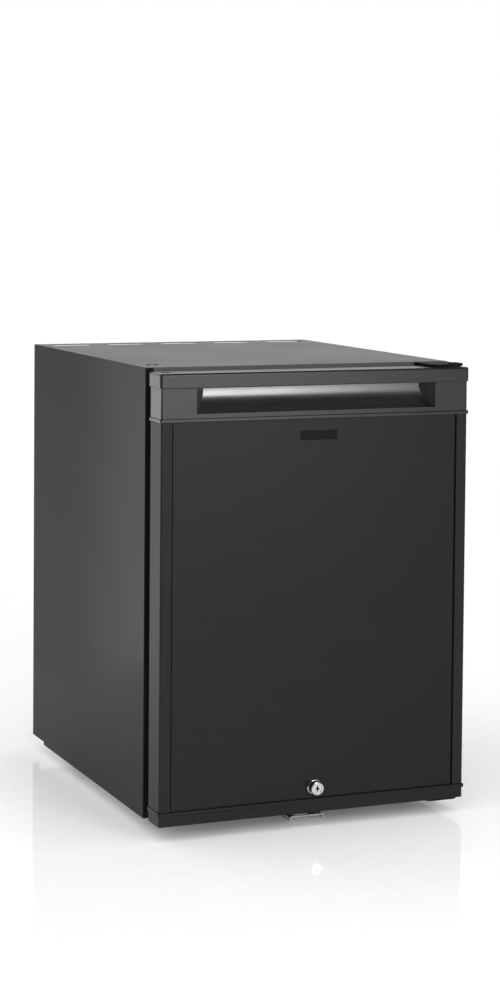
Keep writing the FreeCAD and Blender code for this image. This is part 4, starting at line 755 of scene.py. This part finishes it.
def weld_beads(shape):
    """Rippled rings of weld metal where the tubes join."""
    for spot, axis, radius in WELDS:
        place = place_at(*spot, axis)
        rings = []
        for step in range(WELD_STEPS):
            angle = 2 * math.pi * step / WELD_STEPS
            bulge = WELD_BULGE + sum(size * math.sin(count * angle) for count, size in WELD_RIPPLES)
            ring = []
            for side in range(WELD_SIDES):
                lean = 2 * math.pi * side / WELD_SIDES
                out = radius + bulge * math.cos(lean)
                up = WELD_STRETCH * bulge * math.sin(lean)
                ring.append(point(shape, out * math.cos(angle), out * math.sin(angle), up, place))
            rings.append(ring)
        skin(shape, rings)


JACKET_RADIUS = 26
BAND_HEIGHTS = (135, 205, 275)
BAND_GAP = 0.1
BAND_THICK = 0.6
BAND_HALF = 4.5
BAND_FOLD = 0.3
BUCKLE_HALF = (5, 6)
BUCKLE_DEPTHS = (-0.4, 1.4)


def jacket_bands(shape):
    """Tin straps round the boiler's wool jacket, each with a folded buckle."""
    inner = JACKET_RADIUS + BAND_GAP
    outer = inner + BAND_THICK
    flat = BAND_HALF - BAND_FOLD
    section = ((inner, -BAND_HALF), (outer, -flat), (outer, flat), (inner, BAND_HALF))
    across, up = BUCKLE_HALF
    front, back = (TUBE_Y + JACKET_RADIUS + depth for depth in BUCKLE_DEPTHS)
    for height in BAND_HEIGHTS:
        spin(shape, section, place_at(BOILER_X, TUBE_Y, height), steps=72, closed=True)
        low = (BOILER_X - across, front, height - up)
        high = (BOILER_X + across, back, height + up)
        slab(shape, low, high, rounding=0.5)


LID_X = (-190, -146)
LID_Y = (226.2, 228)
LID_Z = (92, 130)
RIB_COUNT = 5
RIB_FIRST = 13
RIB_PITCH = 4.5
RIB_HALF = 0.8
RIB_Y = (227.6, 228.8)
RIB_Z = (98, 118)


def terminal_lid(shape):
    """A screwed cover on the upper half of the terminal box, with moulded ribs."""
    slab(shape, *zip(LID_X, LID_Y, LID_Z), rounding=0.8)
    for index in range(RIB_COUNT):
        middle = LID_X[0] + RIB_FIRST + RIB_PITCH * index
        sides = (middle - RIB_HALF, middle + RIB_HALF)
        slab(shape, *zip(sides, RIB_Y, RIB_Z), rounding=0.4)


GLAND = (-168, 224.5, 76)
GLAND_BORE = 3.75
GLAND_PROFILE = (
    (GLAND_BORE, 0), (6, 0), (6, 2), (7.6, 2), (7.6, 9.4), (7.2, 12.4), (6.3, 14.6), (5.2, 16), (4.2, 16),
    (GLAND_BORE, 15.6),
)
HEXAGON_PROFILE = ((7.4, 2.2), (8.5, 2.2), (9, 2.9), (9, 7.6), (8.5, 8.3), (7.4, 8.3))


def gland_nut(shape):
    """Spigot, hexagon and dome round the cable bore."""
    place = place_at(*GLAND, (0, 1, 0))
    spin(shape, GLAND_PROFILE, place, closed=True)
    spin(shape, HEXAGON_PROFILE, place, steps=6, closed=True, smooth=False)


def detail_pieces():
    add_piece("door_seal", door_seal, "door", "seal_rubber", seal_rubber, "door_gasket")
    add_screws("cross_screws", HINGE_SCREWS + STRIKE_SCREWS + BRACKET_SCREWS, "cabinet_screws")
    add_screws("lid_screws", LID_SCREWS)
    strike = add_piece("strike_plate", strike_plate, "cabinet", "galvanised_steel", galvanised_steel,
                       "strike_bracket")
    carve(strike, strike_slot)
    add_piece("panel_shade_beads", panel_shade_beads, "door", "seal_rubber", seam_shade_black)
    add_piece("keyway_shade", keyway_shade, "lock", "trim_plastic", plain_trim_and_lower_shade)
    add_piece("dial_marks", dial_marks, "cabinet", "trim_plastic", plain_trim_and_lower_shade)
    add_piece("knob_pointer", knob_pointer, "knob", "trim_plastic", plain_trim_and_lower_shade)
    add_piece("weld_beads", weld_beads, "cabinet", "unit_black", unit_black)
    add_piece("jacket_bands", jacket_bands, "cabinet", "galvanised_steel", galvanised_steel)
    add_piece("terminal_lid", terminal_lid, "cabinet", "trim_plastic", plain_trim_and_lower_shade)
    add_piece("gland_nut", gland_nut, "cabinet", "trim_plastic", plain_trim_and_lower_shade, "cable_gland")


detail_pieces()


# Studio

VIEW_YAW = math.radians(22.595)
AHEAD = Vector((math.sin(VIEW_YAW), math.cos(VIEW_YAW), 0))
# Diffuse light from the camera's side, and from behind the fridge
FRONT_FILL = 1.42
BACK_FILL = 0.55
ROOM_LEVEL = 0.20
CEILING_LEVEL = 0.05
# Cosines to the view between which the grey room turns into the white backdrop
BACKDROP_EDGE = (0.62, 0.93)
# Sines of the height between which the room turns into the dark ceiling
CEILING_EDGE = (0.35, 0.75)
FLOOR_SIZE = 80.0
FLOOR_DROP = 0.2 * MM
FLOOR_GLOW = 0.08


def smooth_step(tree, value, edge, low, high):
    """A number that eases from low to high while the value crosses the edge."""
    start, end = edge
    inputs = {"Value": value, "From Min": start, "From Max": end, "To Min": low, "To Max": high}
    return add_node(tree, "ShaderNodeMapRange", inputs, interpolation_type="SMOOTHSTEP").outputs["Result"]


def shown_rays(tree):
    """1 for the rays that show the studio: from the camera, mirrored, or through clear plastic."""
    path = add_node(tree, "ShaderNodeLightPath").outputs
    shown = combine(tree, "MAXIMUM", path["Is Camera Ray"], path["Is Glossy Ray"])
    return combine(tree, "MAXIMUM", shown, path["Is Transmission Ray"])


def studio_world():
    """A white backdrop in front of the camera, a grey room behind it, a dark ceiling, and the fill light."""
    world = bpy.data.worlds.new("studio")
    bpy.context.scene.world = world
    world.cycles.sampling_method = "NONE"
    world.use_nodes = True
    tree = world.node_tree
    tree.nodes.clear()
    direction = add_node(tree, "ShaderNodeTexCoord").outputs["Generated"]
    along = add_node(tree, "ShaderNodeVectorMath", {0: direction, 1: AHEAD}, operation="DOT_PRODUCT")
    ahead = along.outputs["Value"]
    height = add_node(tree, "ShaderNodeSeparateXYZ", {"Vector": direction}).outputs["Z"]
    backdrop = smooth_step(tree, ahead, BACKDROP_EDGE, ROOM_LEVEL, 1.0)
    ceiling = smooth_step(tree, height, CEILING_EDGE, 1.0, CEILING_LEVEL)
    level = combine(tree, "MULTIPLY", backdrop, ceiling)
    fill = smooth_step(tree, ahead, (-1, 1), FRONT_FILL, BACK_FILL)
    unseen, seen = (add_node(tree, "ShaderNodeBackground", {"Color": light}).outputs["Background"]
                    for light in (fill, level))
    mix = add_node(tree, "ShaderNodeMixShader", {0: shown_rays(tree), 1: unseen, 2: seen})
    add_node(tree, "ShaderNodeOutputWorld", {"Surface": mix.outputs["Shader"]})


def stage_plane(name, width, height, material):
    """A flat rectangle around the origin that belongs to the studio."""
    mesh = bpy.data.meshes.new(name)
    corners = [(x * width / 2, y * height / 2, 0) for x, y in ((-1, -1), (1, -1), (1, 1), (-1, 1))]
    mesh.from_pydata(corners, [], [(0, 1, 2, 3)])
    mesh.materials.append(material)
    plane = bpy.data.objects.new(name, mesh)
    bpy.context.scene.collection.objects.link(plane)
    return plane


def turn_towards(item, place, aim):
    """Puts an item at a place, with its own Z axis pointing away from the aim."""
    item.location = place
    item.rotation_euler = (Vector(place) - Vector(aim)).to_track_quat("Z", "Y").to_euler()


def floor():
    """A pale floor with a faint mirror shine, which stays white where nothing shades it."""
    paint = Paint("studio_floor", Specular_IOR_Level=0.06, Roughness=0.06, Emission_Color=(1, 1, 1, 1))
    speck = paint.noise(40, detail=2)
    paint.shade(paint.spread(speck, 0, 1), grey(0.90), grey(0.92))
    paint.feed("Emission Strength", combine(paint.tree, "MULTIPLY", shown_rays(paint.tree), FLOOR_GLOW))
    plane = stage_plane("studio_floor", FLOOR_SIZE, FLOOR_SIZE, paint.material)
    plane.location.z = -FLOOR_DROP


def dark_flag():
    """A black card at the front left, which only reflections show."""
    paint = Paint("studio_flag", Specular_IOR_Level=0.0, Roughness=0.9)
    cloth = paint.noise(30, detail=1)
    paint.shade(paint.spread(cloth, 0, 1), grey(0.004), grey(0.006))
    flag = stage_plane("studio_flag", width=1.6, height=1.0, material=paint.material)
    turn_towards(flag, place=(-1.85, -1.26, 0.36), aim=(0.15, -0.24, 0.53))
    flag.visible_camera = False
    flag.visible_diffuse = False
    flag.visible_shadow = False


def softbox(name, place, aim, width, height, radiance):
    """A rectangle of light at a place, facing the aim."""
    light = bpy.data.lights.new(name, "AREA")
    light.shape = "RECTANGLE"
    light.size = width
    light.size_y = height
    light.energy = radiance * math.pi * width * height
    lamp = bpy.data.objects.new(name, light)
    bpy.context.scene.collection.objects.link(lamp)
    turn_towards(lamp, place, aim)
    lamp.visible_camera = False
    return lamp


def studio_lamps():
    """A key light at the front right, a side light behind on the left, and a low card for reflections."""
    softbox("key_softbox", place=(0.58, -2.75, 1.28), aim=(0, -0.25, 0.55), width=1.1, height=1.0,
            radiance=6.5)
    softbox("side_softbox", place=(-0.81, 0.62, 0.40), aim=(-0.43, -0.30, 0.40), width=0.7, height=0.8,
            radiance=1.4)
    card = softbox("low_card", place=(0.52, -2.45, 0.42), aim=(0, -0.25, 0.4), width=1.1, height=0.55,
                   radiance=3.1)
    card.visible_diffuse = False


studio_world()
floor()
dark_flag()
studio_lamps()


# Camera, fitted to the edges of the fridge in a picture of 500 by 1000 pixels

PICTURE_HEIGHT = 1000
SENSOR = 36
FOCAL_PIXELS = 2298
AXIS_ROW = 316.0
TILT = math.radians(3.0)
ROLL = math.radians(0.488)
STAND = Vector((-1.1325, -2.7503, 0.7632))


def photo_camera():
    data = bpy.data.cameras.new("photo_camera")
    camera = bpy.data.objects.new("photo_camera", data)
    bpy.context.scene.collection.objects.link(camera)
    bpy.context.scene.camera = camera
    data.sensor_width = SENSOR
    data.lens = FOCAL_PIXELS * SENSOR / PICTURE_HEIGHT
    data.shift_y = (AXIS_ROW - PICTURE_HEIGHT / 2) / PICTURE_HEIGHT
    across = Vector((math.cos(VIEW_YAW), -math.sin(VIEW_YAW), 0))
    upright = Vector((0, 0, 1))
    forward = math.cos(TILT) * AHEAD - math.sin(TILT) * upright
    above = math.sin(TILT) * AHEAD + math.cos(TILT) * upright
    right = math.cos(ROLL) * across + math.sin(ROLL) * above
    top = math.cos(ROLL) * above - math.sin(ROLL) * across
    turn = Matrix((right, top, -forward)).transposed().to_4x4()
    camera.matrix_world = Matrix.Translation(STAND) @ turn


photo_camera()
bpy.context.scene.view_settings.view_transform = "Standard"
